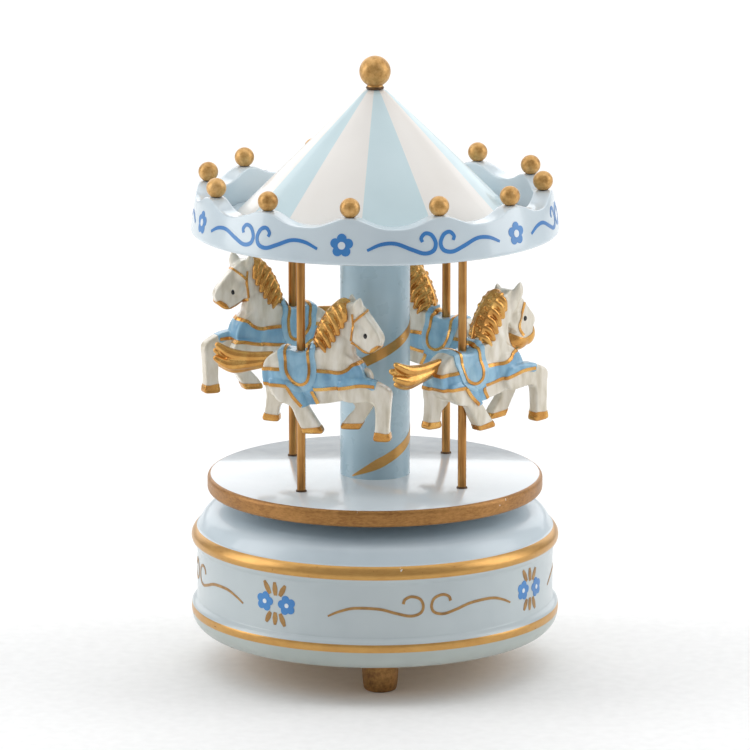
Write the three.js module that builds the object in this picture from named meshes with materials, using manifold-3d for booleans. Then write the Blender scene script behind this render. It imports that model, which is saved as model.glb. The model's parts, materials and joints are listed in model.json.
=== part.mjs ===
// Wooden carousel music box: a turned base with a clockwork melody movement inside it, and a turntable
// that carries four horses on brass poles under a conical canopy with a scalloped crown.
//
// Millimetres, +Z up. The origin is on the axis of rotation, in the plane that the three feet stand on.
// The front of the box is its -Y side. An azimuth is in degrees, measured at the front (-Y) and growing
// towards +X, so a growing azimuth is a positive turn about +Z.
//
// Base: shell, bottom cover, feet, screws, and the movement's fixed pieces.
// Turntable: winding arbor, crown wheel, platform, column, poles, horses, canopy, crown and finial.
// Movement: the crown wheel turns the melody cylinder, the cylinder gear turns the governor wheel, and
// the governor wheel turns the worm and its air fan. Turning the platform backwards winds the mainspring.

import * as THREE from 'three';
import { mergeVertices } from 'three/addons/utils/BufferGeometryUtils.js';
import Module from 'manifold-3d';

const wasm = await Module();
wasm.setup();

// ---------------------------------------------------------------- driving dimensions

const LARGE_ROUND = 40; // facets round the large turned pieces
const MEDIUM_ROUND = 24;
const SMALL_ROUND = 8; // facets round pegs, screws, holes and beads

const GAP = 0.3; // between pieces that touch or are glued
const PLAY = 0.3; // radial clearance round shafts, pegs and screws

// Base
const FOOT_RADIUS = 5.1;
const FOOT_HEIGHT = 9.8;
const FOOT_CIRCLE = 31;
const FOOT_AZIMUTH = 2.7;
const FOOT_PEG_RADIUS = 1.5;
const FOOT_PEG_LENGTH = 2.2;
const BEAD_RADIUS = 52; // the widest part of the box
const BAND_INSET = 1.6;
const SHOULDER_INSET = 5.6;
const BASE_HEIGHT = 36.7; // underside of the shell to the middle of its domed top
const DOME_DROP = 0.8;
const COVER_INSET = 8.3; // bead to the edge of the bottom cover
const COVER_LEDGE = 3.2; // width of the ledge that the cover is screwed to
const CEILING_THICKNESS = 6.8;
const COVER_THICKNESS = 3;
const ARBOR_WELL_RADIUS = 5;

// Turntable
const TURNTABLE_CLEARANCE = 3.6; // top of the base to the underside of the platform
const PLATFORM_RADIUS = 47.4;
const PLATFORM_THICKNESS = 4.7;
const COLUMN_RADIUS = 9.85;
const COLUMN_LENGTH = 69.5;
const DOWEL_RADIUS = 5;
const DOWEL_LENGTH = 1.8;
const POLE_RADIUS = 1.2;
const POLE_CIRCLE = 31.1;
const POLE_SOCKET_DEPTH = 2.2;
const FLANGE_RADIUS = 13;
const FLANGE_THICKNESS = 1.9;

// Canopy
const BOARD_THICKNESS = 3;
const CROWN_FOOT_RADIUS = 51.7;
const CROWN_RIM_RADIUS = 49.8;
const CROWN_BORE_RADIUS = 44.9;
const CROWN_PEAK_HEIGHT = 12.8;
const CROWN_WAVE_DEPTH = 3;
const CROWN_WAVES = 12;
const CROWN_AZIMUTH = -38.3; // of the first rim ball
const RIM_BALL_RADIUS = 2.8;
const RIM_BALL_RISE = 2.5; // ball centre above the crown's peak
const GUTTER_WIDTH = 5.3; // foot of the cone to the bore of the crown
const CONE_TIP_RADIUS = 3.2;
const FINIAL_RADIUS = 4.4;
const FINIAL_NECK_LENGTH = 0.8;
const SMALL_PEG_RADIUS = 0.8;

// Horses: pole azimuth, heading of the horse (degrees from +X) and saddle height above the platform
const HORSES = [
  { name: 'horse_front_left', azimuth: -41.4, heading: -11, saddle: 40 },
  { name: 'horse_front_right', azimuth: 51.5, heading: 41, saddle: 39 },
  { name: 'horse_back_right', azimuth: 139.2, heading: 150, saddle: 39.5 },
  { name: 'horse_back_left', azimuth: -131.1, heading: -156, saddle: 43.4 },
];
const TORSO_WIDTH = 9.4;
const NECK_WIDTH = 6;
const LEG_WIDTH = 3.2;
const TAIL_WIDTH = 4;

// Movement
const ARBOR_RADIUS = 2.2;
const BEDPLATE_THICKNESS = 1.7;
const MOVEMENT_CLEARANCE = 0.9; // furthest corner of the movement to the cavity wall
const PIN_CLEARANCE = 0.6; // pins to the bedplate
const CROWN_TEETH = 40;
const CROWN_PITCH_RADIUS = 12;
const CROWN_FACE = 2;
const PINION_TEETH = 10;
const CYLINDER_RADIUS = 5.8;
const PIN_HEIGHT = 0.6;
const PIN_WIDTH = 0.36;
const COMB_TEETH = 18;
const COMB_THICKNESS = 0.8;
const GEAR_TEETH = 30;
const GOVERNOR_PINION_TEETH = 10;
const GEAR_STAND = 0.2; // pitch circle of the cylinder gear over the drum
const WORM_WHEEL_TEETH = 12;
const WORM_WHEEL_PITCH_RADIUS = 3.3;
const WORM_PITCH_RADIUS = 1.5;
const ADDENDUM = 0.4;
const DEDENDUM = 0.6;
const SPRING_CASE_CLEARANCE = 1.2; // spring case to the cylinder's pinion
const SPRING_CASE_WALL = 0.7;
const FAN_RADIUS = 3.2;

// ---------------------------------------------------------------- sizes and heights that follow

const bandRadius = BEAD_RADIUS - BAND_INSET;
const shoulderRadius = BEAD_RADIUS - SHOULDER_INSET;
const coverRadius = BEAD_RADIUS - COVER_INSET;
const cavityRadius = coverRadius - COVER_LEDGE;
const tipRadius = CYLINDER_RADIUS + PIN_HEIGHT;
const gearPitchRadius = CYLINDER_RADIUS + GEAR_STAND;
const springCaseRadius = CROWN_PITCH_RADIUS - CROWN_FACE / 2 - SPRING_CASE_CLEARANCE;
const coneRadius = CROWN_BORE_RADIUS - GUTTER_WIDTH;
const baseBottom = FOOT_HEIGHT + GAP;
const baseTop = baseBottom + BASE_HEIGHT;
const coverTop = baseBottom + COVER_THICKNESS;
const ceiling = baseTop - CEILING_THICKNESS;
const bedplateTop = ceiling - GAP;
const bedplateBottom = bedplateTop - BEDPLATE_THICKNESS;
const cylinderAxis = bedplateBottom - PIN_CLEARANCE - tipRadius;
const platformBottom = baseTop + TURNTABLE_CLEARANCE;
const platformTop = platformBottom + PLATFORM_THICKNESS;
const columnBottom = platformTop + GAP;
const columnTop = columnBottom + COLUMN_LENGTH;
const crownBottom = columnTop;
const boardBottom = crownBottom + GAP;
const boardTop = boardBottom + BOARD_THICKNESS;
const boardRadius = CROWN_BORE_RADIUS - GAP;
const coneBottom = boardTop + GAP;
const coneTop = coneBottom + coneRadius - CONE_TIP_RADIUS;
const crownPeak = crownBottom + CROWN_PEAK_HEIGHT;
const rimBallHeight = crownPeak + RIM_BALL_RISE;
const rimBallCircle = (CROWN_RIM_RADIUS + CROWN_BORE_RADIUS) / 2;
const finialHeight = coneTop + GAP + FINIAL_NECK_LENGTH + FINIAL_RADIUS * 0.9;

// ---------------------------------------------------------------- solids

function toSolid(geometry) {
  const bare = geometry.clone();
  bare.deleteAttribute('normal');
  bare.deleteAttribute('uv');
  const merged = mergeVertices(bare, 1e-4);
  const corners = merged.index.array;
  const triangles = [];
  for (let i = 0; i < corners.length; i += 3) {
    const [a, b, c] = [corners[i], corners[i + 1], corners[i + 2]];
    if (a !== b && b !== c && c !== a) triangles.push(a, b, c);
  }
  const build = (order) => new wasm.Manifold(new wasm.Mesh({
    numProp: 3,
    vertProperties: merged.attributes.position.array,
    triVerts: new Uint32Array(order),
  }));
  const solid = build(triangles);
  return solid.volume() > 0 ? solid : build(triangles.reverse());
}

function toGeometry(solid) {
  const mesh = solid.getMesh();
  const geometry = new THREE.BufferGeometry();
  geometry.setAttribute('position', new THREE.BufferAttribute(mesh.vertProperties, 3));
  geometry.setIndex(new THREE.BufferAttribute(mesh.triVerts, 1));
  const flat = geometry.toNonIndexed();
  flat.computeVertexNormals();
  return flat;
}

function union(solids) {
  return solids.reduce((whole, piece) => whole.add(piece));
}

// A solid of revolution about Z from [radius, height] pairs.
function turned(profile, segments) {
  const points = profile.map(([radius, height]) => new THREE.Vector2(radius, height));
  return toSolid(new THREE.LatheGeometry(points, segments).rotateX(Math.PI / 2));
}

// A solid of revolution whose profile starts and ends away from the axis, so it has a bore.
function turnedRing(profile, segments) {
  return turned([...profile, profile[0]], segments);
}

function rod(radius, low, high, segments = SMALL_ROUND) {
  return turned([[0, low], [radius, low], [radius, high], [0, high]], segments);
}

function block(x0, x1, y0, y1, z0, z1) {
  const box = new THREE.BoxGeometry(x1 - x0, y1 - y0, z1 - z0);
  return toSolid(box.translate((x0 + x1) / 2, (y0 + y1) / 2, (z0 + z1) / 2));
}

// A flat outline of [x, y] pairs, extruded from z = 0.
function extruded(outline, thickness, bevel = 0) {
  const shape = new THREE.Shape(outline.map(([x, y]) => new THREE.Vector2(x, y)));
  const geometry = new THREE.ExtrudeGeometry(shape, {
    depth: thickness - 2 * bevel,
    bevelEnabled: bevel > 0,
    bevelThickness: bevel,
    bevelSize: bevel,
    bevelOffset: -bevel,
    bevelSegments: 1,
  });
  return toSolid(geometry.translate(0, 0, bevel));
}

// Turns a solid made along Z so that it lies along X, or along Y.
const alongX = (solid) => solid.rotate([0, 90, 0]);
const alongY = (solid) => solid.rotate([-90, 0, 0]);

function onCircle(radius, azimuth, height = 0) {
  const angle = THREE.MathUtils.degToRad(azimuth);
  return [radius * Math.sin(angle), -radius * Math.cos(angle), height];
}

// ---------------------------------------------------------------- nodes and finishes

const finishes = {
  paleLacquer: { color: 0xc5d9e6, roughness: 0.18, metalness: 0 },
  columnLacquer: { color: 0x9bb8cb, roughness: 0.2, metalness: 0 },
  roofPaint: { color: 0xe8e4de, roughness: 0.3, metalness: 0 },
  goldPaint: { color: 0xb98a4a, roughness: 0.35, metalness: 0.6 },
  poleBrass: { color: 0xa8763f, roughness: 0.3, metalness: 0.9 },
  horseResin: { color: 0xf1efeb, roughness: 0.35, metalness: 0 },
  plywood: { color: 0xcdb088, roughness: 0.7, metalness: 0 },
  brass: { color: 0xc9a655, roughness: 0.3, metalness: 1 },
  steel: { color: 0xb8babc, roughness: 0.35, metalness: 1 },
  zinc: { color: 0x9a9da0, roughness: 0.5, metalness: 0.9 },
  nylon: { color: 0xe6e2d6, roughness: 0.5, metalness: 0 },
};

const carousel = new THREE.Group();
const turntable = new THREE.Group();
carousel.add(turntable);

function place(parent, name, solid, finish, position = [0, 0, 0]) {
  const mesh = new THREE.Mesh(toGeometry(solid), new THREE.MeshStandardMaterial(finishes[finish]));
  mesh.name = name;
  mesh.position.set(...position);
  parent.add(mesh);
  return mesh;
}

// ---------------------------------------------------------------- base

const screwHeadRadius = 1.6;
const screwHeadHeight = 1;
const screwShankRadius = 0.8;

// A pan-head screw standing on the origin with its head down, and the clearance that it needs.
function screw(length) {
  const head = rod(screwHeadRadius, 0, screwHeadHeight);
  const slot = block(-screwHeadRadius - 1, screwHeadRadius + 1, -0.25, 0.25, -1, screwHeadHeight * 0.4);
  return head.subtract(slot).add(rod(screwShankRadius, screwHeadHeight, length));
}

function screwHole(from, to) {
  return rod(screwShankRadius + PLAY, from, to);
}

const coverScrewCircle = (cavityRadius + coverRadius) / 2;
const coverScrewLength = COVER_THICKNESS + 3.6;
const coverScrewAzimuths = [62.7, 182.7, 302.7];
const coverScrewBottom = baseBottom + GAP;
const bedplateScrewLength = 7;
const bedplateScrewBottom = bedplateBottom - GAP - screwHeadHeight;
const bedplateScrews = [[-15, -12], [-15, 12], [23, -16]];

// Outer outline of the shell: bottom edge, lower bead, straight band, upper bead, sloping shoulder, dome.
const lowerBead = baseBottom + 6.4;
const upperBead = baseBottom + 27.5;
const shoulderTop = baseTop - DOME_DROP;
const shellOutline = [
  [shoulderRadius - 0.8, baseBottom],
  [BEAD_RADIUS - 3.6, baseBottom + 0.8],
  [BEAD_RADIUS - 1.4, lowerBead - 3.9],
  [BEAD_RADIUS - 0.3, lowerBead - 1.9],
  [BEAD_RADIUS, lowerBead],
  [BEAD_RADIUS - 0.4, lowerBead + 1.8],
  [bandRadius, lowerBead + 4],
  [bandRadius, upperBead - 3.4],
  [BEAD_RADIUS - 0.6, upperBead - 2.2],
  [BEAD_RADIUS, upperBead - 0.4],
  [BEAD_RADIUS - 0.4, upperBead + 1],
  [BEAD_RADIUS - 1.4, upperBead + 1.9],
  [BEAD_RADIUS - 2.9, upperBead + 4.1],
  [BEAD_RADIUS - 4.2, upperBead + 6.6],
  [shoulderRadius, shoulderTop - 0.8],
  [shoulderRadius - 2.9, shoulderTop],
  [shoulderRadius / 2, baseTop - DOME_DROP / 4],
  [ARBOR_WELL_RADIUS, baseTop],
];
const shellInside = [
  [ARBOR_WELL_RADIUS, ceiling],
  [cavityRadius, ceiling],
  [cavityRadius, coverTop + GAP],
  [coverRadius + GAP, coverTop + GAP],
  [coverRadius + GAP, baseBottom],
];
let shell = turnedRing([...shellOutline, ...shellInside], LARGE_ROUND);
for (const azimuth of coverScrewAzimuths) {
  const hole = screwHole(coverTop - 1, coverScrewBottom + coverScrewLength + GAP);
  shell = shell.subtract(hole.translate(onCircle(coverScrewCircle, azimuth)));
}
for (const [x, y] of bedplateScrews) {
  const hole = screwHole(ceiling - 1, bedplateScrewBottom + bedplateScrewLength + GAP);
  shell = shell.subtract(hole.translate([x, y, 0]));
}
place(carousel, 'base_shell', shell, 'paleLacquer');

let cover = rod(coverRadius, baseBottom, coverTop, LARGE_ROUND);
for (const azimuth of coverScrewAzimuths) {
  const recess = rod(screwHeadRadius + PLAY, baseBottom - 1, coverScrewBottom + screwHeadHeight + GAP);
  const hole = recess.add(screwHole(baseBottom, coverTop + 1));
  cover = cover.subtract(hole.translate(onCircle(coverScrewCircle, azimuth)));
}
const footNames = ['foot_front', 'foot_back_right', 'foot_back_left'];
const footAzimuths = footNames.map((name, i) => FOOT_AZIMUTH + i * 120);
for (const azimuth of footAzimuths) {
  const socket = rod(FOOT_PEG_RADIUS + PLAY, baseBottom - 1, baseBottom + FOOT_PEG_LENGTH + GAP);
  cover = cover.subtract(socket.translate(onCircle(FOOT_CIRCLE, azimuth)));
}
place(carousel, 'base_cover', cover, 'plywood');

const foot = turned([
  [0, 0],
  [FOOT_RADIUS - 1.7, 0],
  [FOOT_RADIUS - 0.5, 0.6],
  [FOOT_RADIUS - 0.1, 2],
  [FOOT_RADIUS, FOOT_HEIGHT - 0.6],
  [FOOT_RADIUS - 0.6, FOOT_HEIGHT],
  [FOOT_PEG_RADIUS, FOOT_HEIGHT],
  [FOOT_PEG_RADIUS, FOOT_HEIGHT + FOOT_PEG_LENGTH],
  [0, FOOT_HEIGHT + FOOT_PEG_LENGTH],
], 2 * SMALL_ROUND);
footNames.forEach((name, i) => {
  place(carousel, name, foot, 'goldPaint', onCircle(FOOT_CIRCLE, footAzimuths[i]));
});
coverScrewAzimuths.forEach((azimuth, i) => {
  const position = onCircle(coverScrewCircle, azimuth, coverScrewBottom);
  place(carousel, `cover_screw_${i + 1}`, screw(coverScrewLength), 'steel', position);
});
bedplateScrews.forEach(([x, y], i) => {
  const position = [x, y, bedplateScrewBottom];
  place(carousel, `bedplate_screw_${i + 1}`, screw(bedplateScrewLength), 'steel', position);
});

// ---------------------------------------------------------------- movement: layout along the cylinder

// Along X, the crown wheel's pinion is innermost and the governor frame fills out to the cavity wall.
// The cylinder takes the length that is left between them.
const lugThickness = 1;
const gearThickness = 1;
const cheekThickness = 1;
const wormWheelThickness = 1;
const shaftRadius = 0.9;
const governorShaftRadius = 0.6;
const governorPinionRadius = gearPitchRadius * GOVERNOR_PINION_TEETH / GEAR_TEETH;
const governorY = -gearPitchRadius - governorPinionRadius;
const fanLength = 5;
const fanStart = governorY - 5;
const fanEnd = fanStart - fanLength;
const rearPost = fanEnd - 1.5;
const frontPost = governorY + WORM_WHEEL_PITCH_RADIUS + ADDENDUM + GAP;
const frontEnd = frontPost + cheekThickness;
const frameCornerY = rearPost - cheekThickness;
const frameCornerX = Math.sqrt((cavityRadius - MOVEMENT_CLEARANCE) ** 2 - frameCornerY ** 2);
const cheekEnd = frameCornerX - cheekThickness;
const wormWheelStart = cheekEnd - 0.8 - wormWheelThickness;
const wormX = wormWheelStart + wormWheelThickness / 2;
const wormZ = cylinderAxis - WORM_WHEEL_PITCH_RADIUS - WORM_PITCH_RADIUS;
const gearEnd = wormWheelStart - 3 * GAP;
const gearStart = gearEnd - gearThickness;
const outerLug = gearEnd + GAP;
const cylinderEnd = gearStart - GAP;
const cheekStart = cylinderEnd - cheekThickness - GAP;
const pinionStart = CROWN_PITCH_RADIUS - CROWN_FACE / 2;
const pinionEnd = pinionStart + CROWN_FACE;
const innerLug = pinionEnd + 2 * GAP;
const cylinderStart = innerLug + lugThickness + GAP;
const cylinderLength = cylinderEnd - cylinderStart;

// ---------------------------------------------------------------- movement: gears

// Outline of a spur gear with straight-flanked teeth; the first tooth points along the start angle.
function gearOutline(teeth, pitchRadius, startDegrees) {
  const outline = [];
  for (let i = 0; i < teeth; i += 1) {
    const centre = THREE.MathUtils.degToRad(startDegrees) + i * 2 * Math.PI / teeth;
    const pitch = 2 * Math.PI / teeth;
    for (const [share, radius] of [
      [-0.24, pitchRadius - DEDENDUM],
      [-0.1, pitchRadius + ADDENDUM],
      [0.1, pitchRadius + ADDENDUM],
      [0.24, pitchRadius - DEDENDUM],
    ]) {
      const angle = centre + share * pitch;
      outline.push([radius * Math.cos(angle), radius * Math.sin(angle)]);
    }
  }
  return outline;
}

// A gear on an axis along X. In its outline +x points down (-Z) and +y points along +Y.
function gearAlongX(teeth, pitchRadius, startDegrees, x0, x1, y, z) {
  const gear = extruded(gearOutline(teeth, pitchRadius, startDegrees), x1 - x0);
  return alongX(gear).translate([x0, y, z]);
}

// Contrate teeth under a disc, spread so that a gap lies over the pinion at azimuth 90.
const crownPitch = 2 * Math.PI * CROWN_PITCH_RADIUS / CROWN_TEETH;
const pinionPitchRadius = crownPitch * PINION_TEETH / (2 * Math.PI);
const crownPitchHeight = cylinderAxis + pinionPitchRadius;
const crownRoot = crownPitchHeight + DEDENDUM + 0.1;
const crownWheelRadius = CROWN_PITCH_RADIUS + CROWN_FACE / 2 + 0.2;
const crownDiscThickness = 1.4;
const crownTooth = extruded([
  [-crownPitch * 0.22, DEDENDUM + 0.4],
  [-crownPitch * 0.1, -ADDENDUM],
  [crownPitch * 0.1, -ADDENDUM],
  [crownPitch * 0.22, DEDENDUM + 0.4],
], CROWN_FACE).rotate([90, 0, 90]).translate([CROWN_PITCH_RADIUS - CROWN_FACE / 2, 0, crownPitchHeight]);
const crownDisc = turnedRing([
  [ARBOR_RADIUS + PLAY, crownRoot],
  [crownWheelRadius, crownRoot],
  [crownWheelRadius, crownRoot + crownDiscThickness],
  [ARBOR_RADIUS + PLAY, crownRoot + crownDiscThickness],
], MEDIUM_ROUND);
const crownTeeth = [];
for (let i = 0; i < CROWN_TEETH; i += 1) {
  crownTeeth.push(crownTooth.rotate([0, 0, (i + 0.5) * 360 / CROWN_TEETH]));
}
place(turntable, 'crown_wheel', union([crownDisc, ...crownTeeth]), 'nylon');

// ---------------------------------------------------------------- movement: fixed pieces

const lugHalf = 2;
const lugLow = cylinderAxis - lugHalf;
const combTop = cylinderAxis + COMB_THICKNESS / 2;
const combTip = tipRadius + 0.4;
const combRoot = combTip + 10.2;
const combBack = combRoot + 7;
const combScrews = [cylinderStart + 3, cylinderEnd - 3].map((x) => [x, combRoot + 3.5]);
const combScrewBottom = combTop - COMB_THICKNESS - GAP - screwHeadHeight;
const combScrewLength = 5.5;

function lug(x0) {
  const plate = block(x0, x0 + lugThickness, -lugHalf, lugHalf, lugLow, bedplateTop - 0.5);
  const bore = alongX(rod(shaftRadius + PLAY, -1, lugThickness + 1)).translate([x0, 0, cylinderAxis]);
  return plate.subtract(bore);
}

const plateBack = springCaseRadius + 9;
const plateFront = frameCornerX + 1;
const plateSide = frameCornerY - 1;
let bedplate = block(-plateBack, plateFront, plateSide, combBack + 1, bedplateBottom, bedplateTop);
bedplate = bedplate.intersect(rod(cavityRadius - 1, bedplateBottom - 1, ceiling, LARGE_ROUND));
bedplate = union([
  bedplate,
  lug(innerLug),
  lug(outerLug),
  block(cylinderStart, cylinderEnd, combRoot + 0.5, combBack, combTop + GAP, bedplateTop - 0.5),
]);
bedplate = bedplate.subtract(rod(ARBOR_RADIUS + PLAY, bedplateBottom - 1, bedplateTop + 1));
for (const [x, y] of bedplateScrews) {
  bedplate = bedplate.subtract(screwHole(bedplateBottom - 1, bedplateTop + 1).translate([x, y, 0]));
}
for (const [x, y] of combScrews) {
  const hole = screwHole(combTop, combScrewBottom + combScrewLength + GAP);
  bedplate = bedplate.subtract(hole.translate([x, y, 0]));
}
place(carousel, 'bedplate', bedplate, 'zinc');

// The comb's teeth shorten from the bass side to the treble side.
const combPitch = cylinderLength / COMB_TEETH;
const combOutline = [[cylinderStart, combBack]];
for (let i = 0; i < COMB_TEETH; i += 1) {
  const left = cylinderStart + i * combPitch + combPitch * 0.2;
  const slotEnd = combRoot - 4 * i / COMB_TEETH;
  combOutline.push([left, slotEnd]);
  combOutline.push([left, combTip]);
  combOutline.push([left + combPitch * 0.6, combTip]);
  combOutline.push([left + combPitch * 0.6, slotEnd]);
}
combOutline.push([cylinderEnd, combBack]);
let comb = extruded(combOutline, COMB_THICKNESS).translate([0, 0, combTop - COMB_THICKNESS]);
for (const [x, y] of combScrews) {
  comb = comb.subtract(screwHole(combTop - 2, combTop + 1).translate([x, y, 0]));
}
place(carousel, 'comb', comb, 'steel');
combScrews.forEach(([x, y], i) => {
  place(carousel, `comb_screw_${i + 1}`, screw(combScrewLength), 'steel', [x, y, combScrewBottom]);
});

// Spring case: a cup open towards the crown wheel, hung from the bedplate by two posts.
const caseBottom = coverTop + 5.4;
const caseTop = crownPitchHeight - ADDENDUM - 2 * GAP;
const caseFloor = 1.5;
const postReach = crownWheelRadius + 1.5;
const caseInside = springCaseRadius - SPRING_CASE_WALL;
let springCase = turned([
  [0, caseBottom],
  [springCaseRadius, caseBottom],
  [springCaseRadius, caseTop],
  [caseInside, caseTop],
  [caseInside, caseBottom + caseFloor],
  [0, caseBottom + caseFloor],
], MEDIUM_ROUND);
for (const side of [-1, 1]) {
  const near = side * (springCaseRadius - 0.4);
  const far = side * (postReach + 2);
  const [y0, y1] = [Math.min(near, far), Math.max(near, far)];
  const [p0, p1] = [Math.min(side * postReach, far), Math.max(side * postReach, far)];
  springCase = springCase.add(block(-2, 2, y0, y1, caseBottom, caseBottom + caseFloor));
  springCase = springCase.add(block(-2, 2, p0, p1, caseBottom, bedplateBottom - GAP));
}
const arborPivot = rod(ARBOR_RADIUS + PLAY, caseBottom + caseFloor / 2, caseTop);
place(carousel, 'spring_case', springCase.subtract(arborPivot), 'brass');

// Mainspring: a coiled strip between the arbor and the wall of the case.
const springThickness = 0.5;
const springTurns = 4;
const springSteps = 48;
const springInner = ARBOR_RADIUS + PLAY + 0.6;
const springOuter = caseInside - springThickness - 2 * GAP;
const spiral = [];
for (let i = 0; i <= springSteps; i += 1) {
  const angle = springTurns * 2 * Math.PI * i / springSteps;
  spiral.push([springInner + (springOuter - springInner) * i / springSteps, angle]);
}
const spiralPoint = (offset) => ([radius, angle]) => [
  (radius + offset) * Math.cos(angle),
  (radius + offset) * Math.sin(angle),
];
const springOutline = [...spiral.map(spiralPoint(0)), ...spiral.reverse().map(spiralPoint(springThickness))];
const springBottom = caseBottom + caseFloor + GAP;
const mainspring = extruded(springOutline, caseTop - 1 - springBottom).translate([0, 0, springBottom]);
place(carousel, 'mainspring', mainspring, 'steel');

// Governor frame: cheeks for the governor wheel's shaft and posts for the worm's pivots.
const frameTop = bedplateBottom - GAP;
const frameLow = frameTop - 1.2;
const cheekY = [governorY - 2, -tipRadius - GAP];
const postHalf = 0.9;
const postLow = wormZ - 1.3;
let governorFrame = union([
  block(cheekStart, frameCornerX, frameCornerY, cheekY[1], frameLow, frameTop),
  block(wormX - postHalf, wormX + postHalf, governorY, frontEnd, frameLow, frameTop),
  block(cheekStart, cheekStart + cheekThickness, ...cheekY, cylinderAxis - 2, frameTop),
  block(cheekEnd, frameCornerX, ...cheekY, cylinderAxis - 2, frameTop),
  block(wormX - postHalf, wormX + postHalf, frameCornerY, rearPost, postLow, frameTop),
  block(wormX - postHalf, wormX + postHalf, frontPost, frontEnd, postLow, frameTop),
]);
const wheelBore = alongX(rod(governorShaftRadius + PLAY, cheekStart - 1, frameCornerX + 1));
const wormBore = alongY(rod(governorShaftRadius + PLAY, frameCornerY - 1, frontEnd + 1));
governorFrame = governorFrame.subtract(wheelBore.translate([0, governorY, cylinderAxis]));
governorFrame = governorFrame.subtract(wormBore.translate([wormX, 0, wormZ]));
place(carousel, 'governor_frame', governorFrame, 'zinc');

// ---------------------------------------------------------------- movement: turning pieces

const arborTop = platformBottom + 2.5;
const arborBottom = caseBottom + caseFloor / 2 + GAP;
place(turntable, 'winding_arbor', rod(ARBOR_RADIUS, arborBottom, arborTop, 2 * SMALL_ROUND), 'steel');

// Melody cylinder on its shaft, with pins spread so that each comb tooth has two.
const pinsPerTrack = 2;
const cylinderShaft = rod(shaftRadius, pinionStart - GAP, outerLug + lugThickness + GAP);
const pins = [];
for (let i = 0; i < COMB_TEETH * pinsPerTrack; i += 1) {
  const x = cylinderStart + combPitch * (0.5 + i % COMB_TEETH);
  const [left, right] = [x - PIN_WIDTH / 2, x + PIN_WIDTH / 2];
  const pin = block(left, right, -PIN_WIDTH / 2, PIN_WIDTH / 2, CYLINDER_RADIUS - 0.2, tipRadius);
  pins.push(pin.rotate([(i * 137.5) % 360, 0, 0]));
}
const drum = alongX(rod(CYLINDER_RADIUS, cylinderStart, cylinderEnd, MEDIUM_ROUND).add(cylinderShaft));
place(carousel, 'melody_cylinder', union([drum, ...pins]), 'brass', [0, 0, cylinderAxis]);

const shaftBore = alongX(rod(shaftRadius + PLAY, pinionStart - 1, outerLug)).translate([0, 0, cylinderAxis]);
const pinion = gearAlongX(PINION_TEETH, pinionPitchRadius, 180, pinionStart, pinionEnd, 0, cylinderAxis);
place(carousel, 'cylinder_pinion', pinion.subtract(shaftBore), 'brass');
const gear = gearAlongX(GEAR_TEETH, gearPitchRadius, -90, gearStart, gearEnd, 0, cylinderAxis);
place(carousel, 'cylinder_gear', gear.subtract(shaftBore), 'nylon');

// Governor wheel: shaft, pinion with a gap facing the cylinder gear, and worm wheel with a tooth down.
const governorShaft = alongX(rod(governorShaftRadius, cheekStart + GAP, frameCornerX - GAP));
const governorGap = 90 + 180 / GOVERNOR_PINION_TEETH;
const governorWheel = union([
  governorShaft.translate([0, governorY, cylinderAxis]),
  gearAlongX(GOVERNOR_PINION_TEETH, governorPinionRadius, governorGap, gearStart, wormWheelStart + 0.1,
    governorY, cylinderAxis),
  gearAlongX(WORM_WHEEL_TEETH, WORM_WHEEL_PITCH_RADIUS, 0, wormWheelStart,
    wormWheelStart + wormWheelThickness, governorY, cylinderAxis),
]);
place(carousel, 'governor_wheel', governorWheel, 'nylon');

// Worm: a cam-shaped section twisted once per lead makes a right-hand thread. At the start angle its
// crest points up, so crests face the gaps beside the worm wheel's lowest tooth.
const wormLead = 2 * Math.PI * WORM_WHEEL_PITCH_RADIUS / WORM_WHEEL_TEETH;
const wormTurns = 2.5;
const wormRoot = WORM_PITCH_RADIUS - DEDENDUM;
const wormCrest = WORM_PITCH_RADIUS + ADDENDUM;
const wormSection = [
  [-0.2, wormRoot], [-0.1, wormCrest], [0, wormCrest], [0.1, wormCrest], [0.2, wormRoot],
  [0.3, wormRoot], [0.4, wormRoot], [0.5, wormRoot], [0.6, wormRoot], [0.7, wormRoot],
].map(([share, radius]) => {
  const angle = share * 2 * Math.PI;
  return new THREE.Vector2(radius * Math.cos(angle), radius * Math.sin(angle));
});
const wormLength = wormTurns * wormLead;
const threadGeometry = new THREE.ExtrudeGeometry(new THREE.Shape(wormSection), {
  depth: wormLength,
  steps: wormTurns * 12,
  bevelEnabled: false,
});
const threadPoints = threadGeometry.attributes.position;
const threadPoint = new THREE.Vector3();
for (let i = 0; i < threadPoints.count; i += 1) {
  threadPoint.fromBufferAttribute(threadPoints, i);
  const turns = (threadPoint.z - wormLength / 2) / wormLead - 0.5 - 0.25;
  threadPoint.applyAxisAngle(new THREE.Vector3(0, 0, 1), turns * 2 * Math.PI);
  threadPoints.setXYZ(i, threadPoint.x, threadPoint.y, threadPoint.z);
}
const thread = alongY(toSolid(threadGeometry)).translate([0, governorY - wormLength / 2, 0]);
const wormShaft = alongY(rod(governorShaftRadius, frameCornerY + GAP, frontEnd - GAP));
place(carousel, 'governor_worm', wormShaft.add(thread), 'steel', [wormX, 0, wormZ]);

// Air fan: two blades on a bored hub.
const fanHub = alongY(rod(governorShaftRadius + PLAY + 0.6, fanEnd, fanStart));
const fanBlades = block(-FAN_RADIUS, FAN_RADIUS, fanEnd + 0.5, fanStart - 0.5, -0.3, 0.3);
const fanBore = alongY(rod(governorShaftRadius + PLAY, fanEnd - 1, fanStart + 1));
place(carousel, 'air_fan', fanHub.add(fanBlades).subtract(fanBore), 'nylon', [wormX, 0, wormZ]);

// ---------------------------------------------------------------- turntable

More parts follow.
